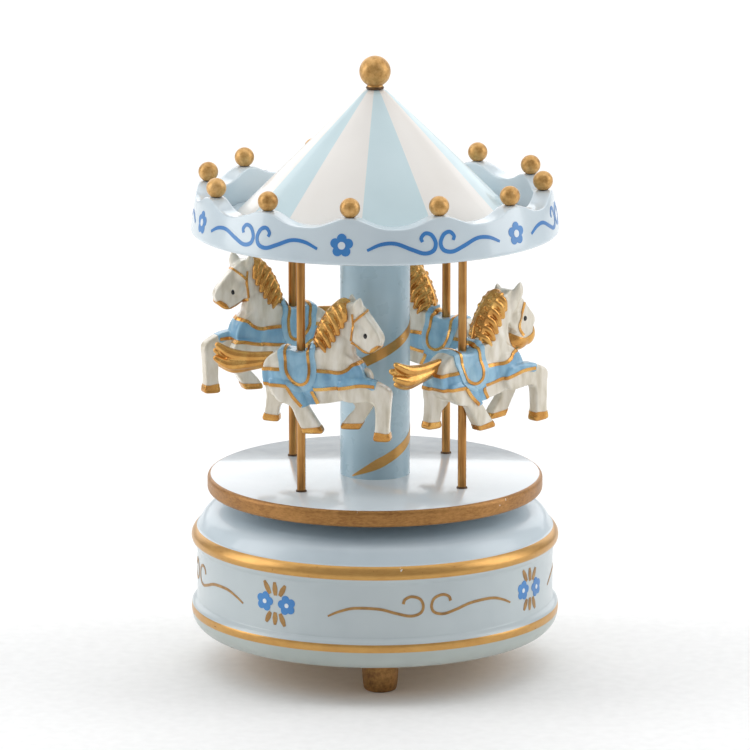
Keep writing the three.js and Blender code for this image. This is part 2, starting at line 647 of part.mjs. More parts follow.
const flangeTop = platformBottom - GAP;
const flangeBottom = flangeTop - FLANGE_THICKNESS;
const flangeScrewCircle = FLANGE_RADIUS - 3.5;
const flangeScrewAzimuths = [0, 120, 240];
const flangeScrewLength = 5;
const flangeScrewBottom = flangeTop - 0.9 - screwHeadHeight;
let flange = turnedRing([
  [ARBOR_RADIUS + PLAY, flangeBottom],
  [FLANGE_RADIUS, flangeBottom],
  [FLANGE_RADIUS, flangeTop],
  [ARBOR_RADIUS + PLAY, flangeTop],
], 2 * SMALL_ROUND);
let platform = turnedRing([
  [ARBOR_RADIUS + PLAY, platformBottom],
  [PLATFORM_RADIUS - 0.4, platformBottom],
  [PLATFORM_RADIUS, platformBottom + 0.4],
  [PLATFORM_RADIUS, platformTop - 0.5],
  [PLATFORM_RADIUS - 0.5, platformTop],
  [DOWEL_RADIUS + PLAY, platformTop],
  [DOWEL_RADIUS + PLAY, platformTop - DOWEL_LENGTH],
  [ARBOR_RADIUS + PLAY, platformTop - DOWEL_LENGTH],
], LARGE_ROUND);
for (const azimuth of flangeScrewAzimuths) {
  const spot = onCircle(flangeScrewCircle, azimuth);
  const recess = rod(screwHeadRadius + PLAY, flangeBottom - 1, flangeTop - 0.7);
  flange = flange.subtract(recess.add(screwHole(flangeBottom, flangeTop + 1)).translate(spot));
  const hole = screwHole(platformBottom - 1, flangeScrewBottom + flangeScrewLength + GAP);
  platform = platform.subtract(hole.translate(spot));
}
for (const { azimuth } of HORSES) {
  const socket = rod(POLE_RADIUS + PLAY, platformTop - POLE_SOCKET_DEPTH, platformTop + 1);
  platform = platform.subtract(socket.translate(onCircle(POLE_CIRCLE, azimuth)));
}
place(turntable, 'drive_flange', flange, 'steel');
place(turntable, 'platform', platform, 'paleLacquer');
flangeScrewAzimuths.forEach((azimuth, i) => {
  const position = onCircle(flangeScrewCircle, azimuth, flangeScrewBottom);
  place(turntable, `flange_screw_${i + 1}`, screw(flangeScrewLength), 'steel', position);
});

const column = turned([
  [0, columnBottom - DOWEL_LENGTH + GAP],
  [DOWEL_RADIUS, columnBottom - DOWEL_LENGTH + GAP],
  [DOWEL_RADIUS, columnBottom],
  [COLUMN_RADIUS, columnBottom],
  [COLUMN_RADIUS, columnTop],
  [DOWEL_RADIUS, columnTop],
  [DOWEL_RADIUS, columnTop + DOWEL_LENGTH],
  [0, columnTop + DOWEL_LENGTH],
], MEDIUM_ROUND);
place(turntable, 'column', column, 'columnLacquer');

const poleBottom = platformTop - POLE_SOCKET_DEPTH + GAP;
const poleTop = boardBottom + POLE_SOCKET_DEPTH - GAP;
const pole = rod(POLE_RADIUS, poleBottom, poleTop);
for (const { name, azimuth } of HORSES) {
  place(turntable, name.replace('horse', 'pole'), pole, 'poleBrass', onCircle(POLE_CIRCLE, azimuth));
}

// ---------------------------------------------------------------- horses

// Side outlines as [forward, up] pairs from the pole's axis at the top of the saddle.
const torsoOutline = [
  [-11.7, -6], [-10.6, -1.6], [-7, 0.9], [-3.5, 0.9], [0, 0.1], [3.6, 2.4], [9, 1.8], [15, -0.5],
  [18.4, -4], [18.8, -8.5], [15.5, -12.4], [8, -14.4], [0, -15], [-5, -13.6], [-10.4, -11.2],
];
const neckOutline = [
  [3, 1], [5.4, 6.2], [8.6, 11.2], [12.6, 14.2], [17.2, 16.8], [17.8, 13.4], [19.2, 12],
  [24.4, 5.4], [24.2, 3.2], [20.4, 0.6], [17.8, 1.4], [15.4, 3.6], [16.2, -1], [17.4, -6], [8, -7],
];
const tailOutline = [
  [-10, -0.6], [-15.5, 1.4], [-21, 2.4], [-25.4, 1.4], [-26.2, -3], [-24, -7.2], [-19, -4.6],
  [-15, -4.2], [-10, -6],
];
const outerForeleg = [
  [12, -7], [19, -6.4], [25.6, -9], [27.2, -11], [26.6, -19.6], [27, -24], [20.8, -24],
  [21.8, -19.6], [21.6, -13], [12, -13],
];
const innerForeleg = [
  [11, -9], [18.4, -8], [21.2, -14], [17.8, -19.6], [16.6, -22.7], [9.9, -22.7], [11.6, -19.4],
  [15.2, -15.4], [11, -13.4],
];
const outerHindleg = [
  [-9.4, -7.5], [-1.4, -9], [1.6, -14.4], [5.6, -20.6], [6.2, -22.8], [-1.2, -22.8], [-2, -19],
  [-3.4, -14.6], [-7.4, -13],
];
const innerHindleg = [
  [-11.4, -7], [-3.5, -8], [-4.6, -14.2], [-8, -16.4], [-8.4, -19.6], [-8.2, -21.8],
  [-13.6, -21.8], [-13, -18.6], [-12.2, -14],
];

// An outline standing in the horse's XZ plane, between two widths measured from its middle.
function slab(outline, from, to, bevel = 0) {
  return extruded(outline, to - from, bevel).rotate([90, 0, 0]).translate([0, to, 0]);
}

const torsoHalf = TORSO_WIDTH / 2;
const horse = union([
  slab(torsoOutline, -torsoHalf, torsoHalf, 1.6),
  slab(neckOutline, -NECK_WIDTH / 2, NECK_WIDTH / 2, 1),
  slab(tailOutline, -TAIL_WIDTH / 2, TAIL_WIDTH / 2, 0.8),
  slab(outerForeleg, -torsoHalf - 0.2, LEG_WIDTH - torsoHalf),
  slab(outerHindleg, -torsoHalf - 0.2, LEG_WIDTH - torsoHalf),
  slab(innerForeleg, torsoHalf - LEG_WIDTH, torsoHalf + 0.2),
  slab(innerHindleg, torsoHalf - LEG_WIDTH, torsoHalf + 0.2),
]).subtract(rod(POLE_RADIUS + PLAY, -30, 30));

for (const { name, azimuth, heading, saddle } of HORSES) {
  const position = onCircle(POLE_CIRCLE, azimuth, platformTop + saddle);
  const mesh = place(turntable, name, horse, 'horseResin', position);
  mesh.rotation.z = THREE.MathUtils.degToRad(heading);
}

// ---------------------------------------------------------------- canopy

let board = turnedRing([
  [DOWEL_RADIUS + PLAY, boardBottom],
  [boardRadius, boardBottom],
  [boardRadius, boardTop],
  [DOWEL_RADIUS + PLAY, boardTop],
], LARGE_ROUND);
for (const { azimuth } of HORSES) {
  const socket = rod(POLE_RADIUS + PLAY, boardBottom - 1, boardBottom + POLE_SOCKET_DEPTH);
  board = board.subtract(socket.translate(onCircle(POLE_CIRCLE, azimuth)));
}
place(turntable, 'canopy_board', board, 'paleLacquer');

const tenonLength = 6;
const cone = turned([
  [0, coneBottom],
  [coneRadius, coneBottom],
  [CONE_TIP_RADIUS, coneTop - 0.4],
  [CONE_TIP_RADIUS - 0.6, coneTop],
  [SMALL_PEG_RADIUS + PLAY, coneTop],
  [SMALL_PEG_RADIUS + PLAY, coneTop - tenonLength - GAP],
  [0, coneTop - tenonLength - GAP],
], LARGE_ROUND);
place(turntable, 'roof_cone', cone, 'roofPaint');

// Crown: a ring whose rim rises to a peak under each ball and dips between them.
const crownSegments = CROWN_WAVES * 6;
const crownProfile = [
  new THREE.Vector2(CROWN_BORE_RADIUS, crownBottom),
  new THREE.Vector2(CROWN_FOOT_RADIUS - 0.6, crownBottom),
  new THREE.Vector2(CROWN_FOOT_RADIUS, crownBottom + 0.8),
  new THREE.Vector2(CROWN_RIM_RADIUS, crownPeak),
  new THREE.Vector2(CROWN_BORE_RADIUS, crownPeak),
  new THREE.Vector2(CROWN_BORE_RADIUS, crownBottom),
];
const crownLathe = new THREE.LatheGeometry(crownProfile, crownSegments);
crownLathe.rotateX(Math.PI / 2);
const rim = crownLathe.attributes.position;
for (let i = 0; i < rim.count; i += 1) {
  if (rim.getZ(i) > crownPeak - 0.01) {
    const azimuth = THREE.MathUtils.radToDeg(Math.atan2(rim.getX(i), -rim.getY(i)));
    const phase = THREE.MathUtils.degToRad((azimuth - CROWN_AZIMUTH) * CROWN_WAVES);
    const rise = ((1 + Math.cos(phase)) / 2) ** 1.4;
    rim.setZ(i, crownPeak - CROWN_WAVE_DEPTH * (1 - rise));
  }
}
let crown = toSolid(crownLathe);
const ballPegLength = 3;
const ballAzimuths = Array.from({ length: CROWN_WAVES }, (_, i) => CROWN_AZIMUTH + i * 360 / CROWN_WAVES);
for (const azimuth of ballAzimuths) {
  const hole = rod(SMALL_PEG_RADIUS + PLAY, crownPeak - ballPegLength, crownPeak + 2);
  crown = crown.subtract(hole.translate(onCircle(rimBallCircle, azimuth)));
}
place(turntable, 'crown_ring', crown, 'paleLacquer');

// A bead on a peg: the ball starts on a small flat that faces what it stands on.
function beadOnPeg(radius, centre, flat, pegEnd, segments, rings) {
  const start = Math.asin((flat - centre) / radius);
  const profile = [[0, pegEnd], [SMALL_PEG_RADIUS, pegEnd], [SMALL_PEG_RADIUS, flat]];
  for (let i = 0; i < rings; i += 1) {
    const angle = start + (Math.PI / 2 - start) * i / rings;
    profile.push([radius * Math.cos(angle), centre + radius * Math.sin(angle)]);
  }
  profile.push([0, centre + radius]);
  return turned(profile, segments);
}

const ballFlat = crownPeak + GAP;
const ballPegEnd = crownPeak - ballPegLength + GAP;
const ball = beadOnPeg(RIM_BALL_RADIUS, rimBallHeight, ballFlat, ballPegEnd, SMALL_ROUND, 4);
ballAzimuths.forEach((azimuth, i) => {
  const number = String(i + 1).padStart(2, '0');
  place(turntable, `rim_ball_${number}`, ball, 'goldPaint', onCircle(rimBallCircle, azimuth));
});

const finialFlat = coneTop + GAP + FINIAL_NECK_LENGTH;
const finialPegEnd = coneTop - tenonLength;
const finialBead = beadOnPeg(FINIAL_RADIUS, finialHeight, finialFlat, finialPegEnd, 2 * SMALL_ROUND, 6);
const finialNeck = rod(CONE_TIP_RADIUS - 0.8, coneTop + GAP, finialFlat + 0.4, 2 * SMALL_ROUND);
place(turntable, 'finial', finialBead.add(finialNeck), 'goldPaint');

export default carousel;
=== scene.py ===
"""Looks of a wooden carousel music box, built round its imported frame: turned and lacquered wood, painted
ornaments, four carved horses on metal poles and a small clockwork movement. Metres, +Z up."""

import json
import math

import bpy
from mathutils import Matrix, Vector

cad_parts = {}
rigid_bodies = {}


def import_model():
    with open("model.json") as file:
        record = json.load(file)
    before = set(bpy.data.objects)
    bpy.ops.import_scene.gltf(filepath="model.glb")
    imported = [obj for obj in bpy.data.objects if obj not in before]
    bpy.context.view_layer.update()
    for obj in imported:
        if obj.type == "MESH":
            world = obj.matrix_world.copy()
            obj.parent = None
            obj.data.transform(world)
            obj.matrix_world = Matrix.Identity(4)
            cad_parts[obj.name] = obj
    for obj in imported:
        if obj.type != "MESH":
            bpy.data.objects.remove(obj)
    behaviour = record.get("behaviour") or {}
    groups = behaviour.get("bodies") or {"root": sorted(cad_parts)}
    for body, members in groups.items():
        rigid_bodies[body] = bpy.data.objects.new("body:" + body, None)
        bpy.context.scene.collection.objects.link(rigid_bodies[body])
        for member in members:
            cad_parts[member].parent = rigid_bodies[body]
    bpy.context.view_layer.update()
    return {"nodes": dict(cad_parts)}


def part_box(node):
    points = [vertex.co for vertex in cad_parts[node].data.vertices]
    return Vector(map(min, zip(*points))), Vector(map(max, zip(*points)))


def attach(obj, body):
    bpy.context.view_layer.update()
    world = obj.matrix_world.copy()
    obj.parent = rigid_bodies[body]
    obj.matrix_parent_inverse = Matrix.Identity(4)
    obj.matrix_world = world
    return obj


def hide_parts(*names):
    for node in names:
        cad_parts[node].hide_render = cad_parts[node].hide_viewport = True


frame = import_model()

MM = 0.001
AROUND = 144  # faces round the large turned pieces
SHARP = math.radians(35)  # edges that turn more than this stay crisp
SHARP_CARVED = math.radians(40)  # the same on the crown's waves and on the horses' painted coats


def heights(node):
    """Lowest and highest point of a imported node, in mm."""
    return tuple(corner.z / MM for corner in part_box(node))


def radius_of(node):
    """Half the width of an imported round node, in mm."""
    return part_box(node)[1].x / MM


def centre_of(node):
    low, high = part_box(node)
    return (low + high) / 2 / MM


# Sizes of the turned pieces in mm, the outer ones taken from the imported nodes.
BASE_LOW, BASE_HIGH = heights("base_shell")
LOW_BEAD = (15.95, 18.2)  # heights of each gilded bead's lower and upper edge
HIGH_BEAD = (36.6, 40.25)
BAND_MIDDLE = 27.5  # height of the band's middle, between the beads
BAND_RADIUS = radius_of("base_shell") - 1.6
BEAD_FOOT = 50  # the beads and the band lie outside this radius
UNDERSIDE_FOOT = 45  # and the painted shade below the lower bead outside this one
DECK_LOW, DECK_HIGH = heights("platform")
DECK_RADIUS = radius_of("platform")
DECK_EDGE = 46  # the deck's gilded edge lies outside this radius
COLUMN_RADIUS = 9.85
POLE_RADIUS = 1.2
POLE_FOOT_SHADE = 0.48  # height of the painted shade round a pole's foot
CROWN_LOW = heights("crown_ring")[0]
CROWN_PEAK = 137.7
CROWN_BORE = 44.9
CROWN_FOOT = 51.7  # radius of the crown's wall at its foot
CROWN_RIM = 49.8  # and at its waved rim
CROWN_WALL = 125.7  # height where the leaning wall starts
CROWN_INSIDE = 47.5  # points outside this radius are on the wall
LEAN = (CROWN_FOOT - CROWN_RIM) / (CROWN_PEAK - CROWN_WALL)  # mm inwards for each mm up
WAVES = 12
WAVE_DEPTH = 3.0
WAVE_LOW = 126  # nothing below this height is waved
WAVE_START = -38.3  # azimuth of the first rim ball, in degrees
RIM_BALL = 2.8  # radius of the rim's balls
RIM_NECK = 2.3  # the painted shade on a ball's neck ends this far below its middle
FINIAL_BALL = 4.4
FINIAL_SEAT = 165.0  # height of the roof's flat top


# ---------------------------------------------------------------- materials


def linear(code):
    """An sRGB hex colour as linear red, green, blue and alpha."""
    values = [int(code[i : i + 2], 16) / 255 for i in (1, 3, 5)]
    return [v / 12.92 if v <= 0.04045 else ((v + 0.055) / 1.055) ** 2.4 for v in values] + [1.0]


def add(tree, kind, inputs=None, stops=(), **settings):
    """Adds one node. An input given as a socket is linked, and any other value is set on it. Stops are
    a colour ramp's (position, hex colour) pairs."""
    node = tree.nodes.new(kind)
    for name, value in settings.items():
        setattr(node, name, value)
    for name, value in (inputs or {}).items():
        if isinstance(value, bpy.types.NodeSocket):
            tree.links.new(value, node.inputs[name])
        else:
            node.inputs[name].default_value = value
    if stops:
        elements = node.color_ramp.elements
        for k in (0, -1):
            elements[k].position = stops[k][0]
            elements[k].color = linear(stops[k][1])
        for position, code in stops[1:-1]:
            elements.new(position).color = linear(code)
    return node


def material(name):
    """A new material, its node tree, and the Object coordinates that its patterns follow."""
    made = bpy.data.materials.new(name)
    made.use_nodes = True
    tree = made.node_tree
    tree.nodes.clear()
    return made, tree, add(tree, "ShaderNodeTexCoord").outputs["Object"]


def patches(size):
    """The noise scale whose patches are about this many mm across."""
    return 1 / (size * MM)


def lacquer(name, light, mid, dark, rough=0.2, waviness=0.25, stretch=(1, 1, 1), patch=22.2):
    """Gloss lacquer over sanded wood. Its colour drifts in patches: slowly where it was sprayed, and in
    short strokes where it was brushed. Wipe marks 4 mm wide change its gloss. Its orange peel is drawn
    2.4 mm wide, coarser than the real one, so that it shows."""
    made, tree, place = material(name)
    laid = add(tree, "ShaderNodeMapping", {"Vector": place, "Scale": stretch}).outputs["Vector"]
    drift = add(tree, "ShaderNodeTexNoise", {"Vector": laid, "Scale": patches(patch), "Detail": 3.0})
    tones = [(0.3, dark), (0.5, mid), (0.7, light)]
    colour = add(tree, "ShaderNodeValToRGB", {"Fac": drift.outputs["Fac"]}, stops=tones)
    wipes = add(tree, "ShaderNodeTexNoise", {"Vector": place, "Scale": patches(3.85), "Detail": 2.0})
    gloss = add(tree, "ShaderNodeMapRange", {
        "Value": wipes.outputs["Fac"], "To Min": rough * 0.7, "To Max": rough * 1.4,
    })
    peel = add(tree, "ShaderNodeTexNoise", {"Vector": place, "Scale": patches(2.38), "Detail": 1.0})
    bump = add(tree, "ShaderNodeBump", {
        "Height": peel.outputs["Fac"], "Strength": waviness, "Distance": 0.06 * MM,
    })
    shader = add(tree, "ShaderNodeBsdfPrincipled", {
        "Base Color": colour.outputs["Color"], "Roughness": gloss.outputs["Result"],
        "Normal": bump.outputs["Normal"], "IOR": 1.5, "Coat Weight": 0.35, "Coat Roughness": 0.06,
    })
    add(tree, "ShaderNodeOutputMaterial", {"Surface": shader.outputs["BSDF"]})
    return made


def gold_paint(
    name, light, mid, dark, rough=0.36, stretch=(1, 1, 1), patch=1.67, metallic=0.55, depth=0.12, chips=0.0,
):
    """Bronze powder paint, brushed on: fine glitter, brush streaks as wide as a patch and as deep as
    depth, both in mm, and a darker tone in clouds 6 mm across where it is thin. Chips are small spots
    where it has been knocked down to the white primer."""
    made, tree, place = material(name)
    laid = add(tree, "ShaderNodeMapping", {"Vector": place, "Scale": stretch}).outputs["Vector"]
    streak = add(tree, "ShaderNodeTexNoise", {
        "Vector": laid, "Scale": patches(patch), "Detail": 4.0, "Roughness": 0.65,
    })
    cloud = add(tree, "ShaderNodeTexNoise", {"Vector": place, "Scale": patches(6.25), "Detail": 2.0})
    both = add(
        tree, "ShaderNodeMath", {0: cloud.outputs["Fac"], 1: 0.5, 2: streak.outputs["Fac"]},
        operation="MULTIPLY_ADD",
    )
    tone = add(tree, "ShaderNodeMath", {0: both.outputs["Value"], 1: 0.667}, operation="MULTIPLY")
    colour = add(
        tree, "ShaderNodeValToRGB", {"Fac": tone.outputs["Value"]},
        stops=[(0.36, dark), (0.5, mid), (0.64, light)],
    ).outputs["Color"]
    gloss = add(tree, "ShaderNodeMapRange", {
        "Value": streak.outputs["Fac"], "To Min": rough * 0.75, "To Max": rough * 1.3,
    })
    bump = add(tree, "ShaderNodeBump", {
        "Height": streak.outputs["Fac"], "Strength": 0.5, "Distance": depth * MM,
    })
    metal = metallic
    if chips:
        knock = add(tree, "ShaderNodeTexNoise", {
            "Vector": place, "Scale": patches(4.35), "Detail": 3.0, "Roughness": 0.7,
        })
        bare = add(tree, "ShaderNodeMapRange", {
            "Value": knock.outputs["Fac"], "From Min": chips, "From Max": chips + 0.01,
        }).outputs["Result"]
        colour = add(
            tree, "ShaderNodeMix", {"Factor": bare, 6: colour, 7: linear("#ddd9cf")}, data_type="RGBA",
        ).outputs[2]
        metal = add(tree, "ShaderNodeMapRange", {
            "Value": bare, "To Min": metallic, "To Max": 0.0,
        }).outputs["Result"]
    shader = add(tree, "ShaderNodeBsdfPrincipled", {
        "Base Color": colour, "Roughness": gloss.outputs["Result"], "Normal": bump.outputs["Normal"],
        "Metallic": metal, "IOR": 1.5,
    })
    add(tree, "ShaderNodeOutputMaterial", {"Surface": shader.outputs["BSDF"]})
    return made


def clockwork(name, light, dark, rough, stretch, metallic=1.0):
    """Stamped, machined or moulded clockwork stock, with tool lines about 1 mm wide in one direction,
    drawn coarser than the real ones so that they show."""
    made, tree, place = material(name)
    laid = add(tree, "ShaderNodeMapping", {"Vector": place, "Scale": stretch}).outputs["Vector"]
    lines = add(tree, "ShaderNodeTexNoise", {"Vector": laid, "Scale": patches(1.11), "Detail": 3.0})
    colour = add(
        tree, "ShaderNodeValToRGB", {"Fac": lines.outputs["Fac"]}, stops=[(0.35, dark), (0.65, light)],
    )
    gloss = add(tree, "ShaderNodeMapRange", {
        "Value": lines.outputs["Fac"], "To Min": rough * 0.7, "To Max": rough * 1.4,
    })
    bump = add(tree, "ShaderNodeBump", {
        "Height": lines.outputs["Fac"], "Strength": 0.3, "Distance": 0.05 * MM,
    })
    shader = add(tree, "ShaderNodeBsdfPrincipled", {
        "Base Color": colour.outputs["Color"], "Roughness": gloss.outputs["Result"],
        "Normal": bump.outputs["Normal"], "Metallic": metallic,
    })
    add(tree, "ShaderNodeOutputMaterial", {"Surface": shader.outputs["BSDF"]})
    return made


def plywood():
    """Sanded birch plywood, bare and matt: long grain streaks about 1 mm wide with a few darker pores."""
    made, tree, place = material("bare_plywood")
    laid = add(tree, "ShaderNodeMapping", {"Vector": place, "Scale": (0.06, 1.0, 1.0)}).outputs["Vector"]
    grain = add(tree, "ShaderNodeTexNoise", {"Vector": laid, "Scale": patches(1.11), "Detail": 5.0})
    colour = add(
        tree, "ShaderNodeValToRGB", {"Fac": grain.outputs["Fac"]},
        stops=[(0.3, "#b5946a"), (0.5, "#cdb088"), (0.7, "#dcc39d")],
    )
    bump = add(tree, "ShaderNodeBump", {
        "Height": grain.outputs["Fac"], "Strength": 0.4, "Distance": 0.1 * MM,
    })
    shader = add(tree, "ShaderNodeBsdfPrincipled", {
        "Base Color": colour.outputs["Color"], "Roughness": 0.6, "Normal": bump.outputs["Normal"],
    })
    add(tree, "ShaderNodeOutputMaterial", {"Surface": shader.outputs["BSDF"]})
    return made


def white_paper():
    """Plain matt white paper, with the faintest mottling."""
    made, tree, place = material("white_paper_floor")
    mottle = add(tree, "ShaderNodeTexNoise", {"Vector": place, "Scale": patches(3.33), "Detail": 2.0})
    tones = [(0.3, "#f4f4f3"), (0.7, "#f9f9f8")]
    colour = add(tree, "ShaderNodeValToRGB", {"Fac": mottle.outputs["Fac"]}, stops=tones)
    shader = add(tree, "ShaderNodeBsdfPrincipled", {"Base Color": colour.outputs["Color"], "Roughness": 0.9})
    add(tree, "ShaderNodeOutputMaterial", {"Surface": shader.outputs["BSDF"]})
    return made


# Sprayed pale blue lacquer: satin on the base, and glossier on the deck and the crown.
BASE_BLUE = lacquer("pale_blue_lacquer", "#cad6dd", "#c5d2d9", "#bdcad2", rough=0.36, waviness=0.12)
# A darker, greyer copy of the base lacquer on the band between the beads: painted shade.
SHADED_BAND_BLUE = lacquer("band_painted_shade_lacquer", "#c0cacc", "#bbc5c8", "#b4bfc2", rough=0.34)
# A darker, greener copy of the base lacquer below the lower bead: painted shade.
SHADED_LOW_BLUE = lacquer("underside_painted_shade_lacquer", "#b6beb9", "#b0b8b3", "#a8b1ac", rough=0.36)
DECK_BLUE = lacquer("deck_lacquer", "#e0e6ea", "#dbe2e6", "#d4dce1", rough=0.17, waviness=0.15)
CROWN_BLUE = lacquer("crown_lacquer", "#d3dfe5", "#cddae1", "#c5d3db", waviness=0.12)
COLUMN_BLUE = lacquer("column_lacquer", "#b4cdd9", "#acc7d4", "#a2bfcd", rough=0.28)
# Roof colours: cream white and pale blue, sprayed in satin stripes that are nearly flat.
ROOF_WHITE = lacquer("roof_cream_lacquer", "#f0ece6", "#ece8e2", "#e8e3dc", rough=0.38, waviness=0.06)
ROOF_BLUE = lacquer("roof_blue_lacquer", "#cde1e6", "#c8dde2", "#c2d8dd", rough=0.38, waviness=0.06)
# Horse colours: thick glossy enamel, brushed on upright in strokes about 2 mm wide.
BRUSHED = {"rough": 0.22, "waviness": 0.45, "stretch": (1, 1, 0.3), "patch": 2.38}
HORSE_WHITE = lacquer("horse_white_enamel", "#f0eadd", "#e4dccb", "#cec4ae", **BRUSHED)
HARNESS_BLUE = lacquer("harness_blue_enamel", "#95c2da", "#85b4d0", "#72a2c2", **BRUSHED)
HARNESS_PALE = lacquer("harness_pale_enamel", "#a4cadd", "#93bdd4", "#80acc6", **BRUSHED)
EYE_BLACK = lacquer("eye_black_enamel", "#1d1a18", "#151312", "#0f0e0d", rough=0.12)
# Ornament paints: matt poster colours with a slight drift.
ORNAMENT_BLUE = lacquer("ornament_blue_paint", "#3c86c8", "#317abd", "#296dae", rough=0.4)
FLOWER_WHITE = lacquer("flower_centre_paint", "#e2e9ee", "#d8e1e8", "#ccd8e0", rough=0.35)
# Gold paints: streaked along the edges with the piece turning, and chipped here and there.
BEAD_GOLD = gold_paint(
    "bead_gold_paint", "#cc9e5a", "#c79855", "#c09050", rough=0.3, stretch=(0.4, 0.4, 1.2), patch=1.11,
    metallic=0.65, depth=0.003, chips=0.73,
)
DECK_GOLD = gold_paint(
    "deck_edge_gold_paint", "#b5834a", "#a3743c", "#8a5d2c", rough=0.4, stretch=(0.5, 0.5, 1.5),
    patch=0.667, metallic=0.5, depth=0.05, chips=0.71,
)
# Dabbed on the small turned parts, which leaves it grainy.
BALL_GOLD = gold_paint(
    "ball_gold_paint", "#e0b373", "#ca9b58", "#a8793c", patch=1.43, metallic=0.45, depth=0.3,
)
FOOT_GOLD = gold_paint(
    "foot_gold_paint", "#b4844c", "#99703c", "#77532c", rough=0.42, patch=1.11, depth=0.2,
)
# Richer and smoother on the horses, thin and dull in the ornaments, and plated on the poles, which are
# drawn wire with long lines.
HORSE_GOLD = gold_paint(
    "horse_gold_paint", "#e0b165", "#cf984f", "#b98140", rough=0.25, patch=3.85, metallic=0.75, depth=0.01,
)
ORNAMENT_GOLD = gold_paint(
    "ornament_gold_paint", "#b48d54", "#a47c48", "#8c683a", patch=2.0, metallic=0.3,
)
POLE_GOLD = gold_paint(
    "pole_copper_gold", "#c9995c", "#b28046", "#986836", rough=0.3, stretch=(4.0, 4.0, 0.15), patch=3.33,
    metallic=0.85, depth=0.04,
)
# Painted shade at the necks under the balls and the finial, and round the poles' feet: dark brown and dull.
NECK_SHADE = gold_paint(
    "neck_painted_shade", "#7a5a34", "#5c4123", "#3d2a16", rough=0.6, patch=1.11, metallic=0.1,
)
# The movement: bright rolled brass, ground steel, grey cast zinc and off-white moulded nylon.
BRASS = clockwork("movement_brass", "#d9b968", "#b8923f", 0.28, (1, 1, 6))
STEEL = clockwork("movement_steel", "#c6c8ca", "#8f9295", 0.25, (6, 1, 1))
ZINC = clockwork("movement_zinc", "#a9adb0", "#85898c", 0.45, (2, 2, 2))
NYLON = clockwork("movement_nylon", "#ece8db", "#ddd8c8", 0.45, (1, 1, 1), metallic=0.0)
PLYWOOD = plywood()


# ---------------------------------------------------------------- modelling


def alone():
    bpy.ops.object.select_all(action="DESELECT")


def begin():
    """Adds a plane with nothing else selected, and opens it empty in edit mode."""
    alone()
    bpy.ops.mesh.primitive_plane_add(size=MM)
    bpy.ops.object.mode_set(mode="EDIT")
    bpy.ops.mesh.delete(type="VERT")
    return bpy.context.object


def close(piece, name, surface):
    """Leaves edit mode with merged points, outward faces and smooth shading."""
    bpy.ops.mesh.select_all(action="SELECT")
    bpy.ops.mesh.remove_doubles(threshold=2e-6)
    bpy.ops.mesh.normals_make_consistent(inside=False)
    bpy.ops.object.mode_set(mode="OBJECT")
    bpy.ops.object.shade_smooth_by_angle(angle=SHARP)
    piece.name = name
    piece.data.name = name
    if surface is not None:
        piece.data.materials.clear()
        piece.data.materials.append(surface)
    return piece


def pick(piece):
    alone()
    piece.select_set(True)
    bpy.context.view_layer.objects.active = piece


def modify(piece, kind, **settings):
    """Adds a modifier and applies it."""
    pick(piece)
    modifier = piece.modifiers.new(kind, kind)
    for name, value in settings.items():
        setattr(modifier, name, value)
    bpy.ops.object.modifier_apply(modifier=modifier.name)
    return piece


def softened(corners, steps=5):
    """An outline with its corners rounded: each corner is (x, y) or (x, y, radius)."""
    path = []
    for i, corner in enumerate(corners):
        here = Vector(corner[:2])
        if len(corner) == 2 or i in (0, len(corners) - 1):
            path.append(tuple(here))
            continue
        back = Vector(corners[i - 1][:2]) - here
        ahead = Vector(corners[i + 1][:2]) - here
        reach = min(corner[2], back.length * 0.49, ahead.length * 0.49)
        start = here + back.normalized() * reach
        end = here + ahead.normalized() * reach
        for k in range(steps + 1):
            t = k / steps
            path.append(tuple(start * (1 - t) ** 2 + here * 2 * t * (1 - t) + end * t**2))
    return path


def smooth_path(points, per=6, closed=False):
    """A smooth curve through the points, which may have any number of values each."""
    vectors = [Vector(p) for p in points]
    count = len(vectors)
    path = []
    for i in range(count if closed else count - 1):
        if closed:
            a, b, c, d = (vectors[(i + k) % count] for k in (-1, 0, 1, 2))
        else:
            a, b, c, d = (vectors[min(max(i + k, 0), count - 1)] for k in (-1, 0, 1, 2))
        for k in range(per):
            t = k / per
            square = (2 * a - 5 * b + 4 * c - d) * t**2
            cube = (3 * b - a - 3 * c + d) * t**3
            path.append(0.5 * (2 * b + (c - a) * t + square + cube))
    if not closed:
        path.append(vectors[-1])
    return path


def draw(points):
    """In edit mode, draws a chain of points in mm, one vertex extruded to the next."""
    bpy.ops.mesh.primitive_plane_add(size=MM, location=(0, 0, 0))
    bpy.ops.mesh.merge(type="CENTER")
    bpy.ops.transform.translate(value=Vector(points[0]) * MM)
    for before, after in zip(points, points[1:]):
        step = (Vector(after) - Vector(before)) * MM
        bpy.ops.mesh.extrude_region_move(TRANSFORM_OT_translate={"value": step})


def spun(name, outline, surface, centre=(0, 0), around=AROUND):
    """Turns an outline of (radius, height) points in mm about a vertical axis."""
    x, y = centre
    piece = begin()
    draw([(x + radius, y, height) for radius, height in outline])
    bpy.ops.mesh.select_all(action="SELECT")
    bpy.ops.mesh.spin(steps=around, angle=math.tau, center=(x * MM, y * MM, 0), axis=(0, 0, 1))
    return close(piece, name, surface)


def paint_between(piece, surface, low, high, least_radius=0.0):
    """Gives the faces between two heights in mm, and outside a radius, another material."""
    index = len(piece.data.materials)
    piece.data.materials.append(surface)
    for face in piece.data.polygons:
        middle = face.center / MM
        if low < middle.z < high and math.hypot(middle.x, middle.y) > least_radius:
            face.material_index = index


def around_axis(piece, degrees, name):
    """A copy of the piece with its own mesh, turned about the vertical axis."""
    twin = piece.copy()
    twin.data = piece.data.copy()
    bpy.context.scene.collection.objects.link(twin)
    twin.data.transform(Matrix.Rotation(math.radians(degrees), 4, "Z"))
    twin.name = name
    twin.data.name = name
    return twin

def stand_in(piece, body, node):
    """Puts a finished piece in the place of its CAD node."""
    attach(piece, body)
    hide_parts(node)


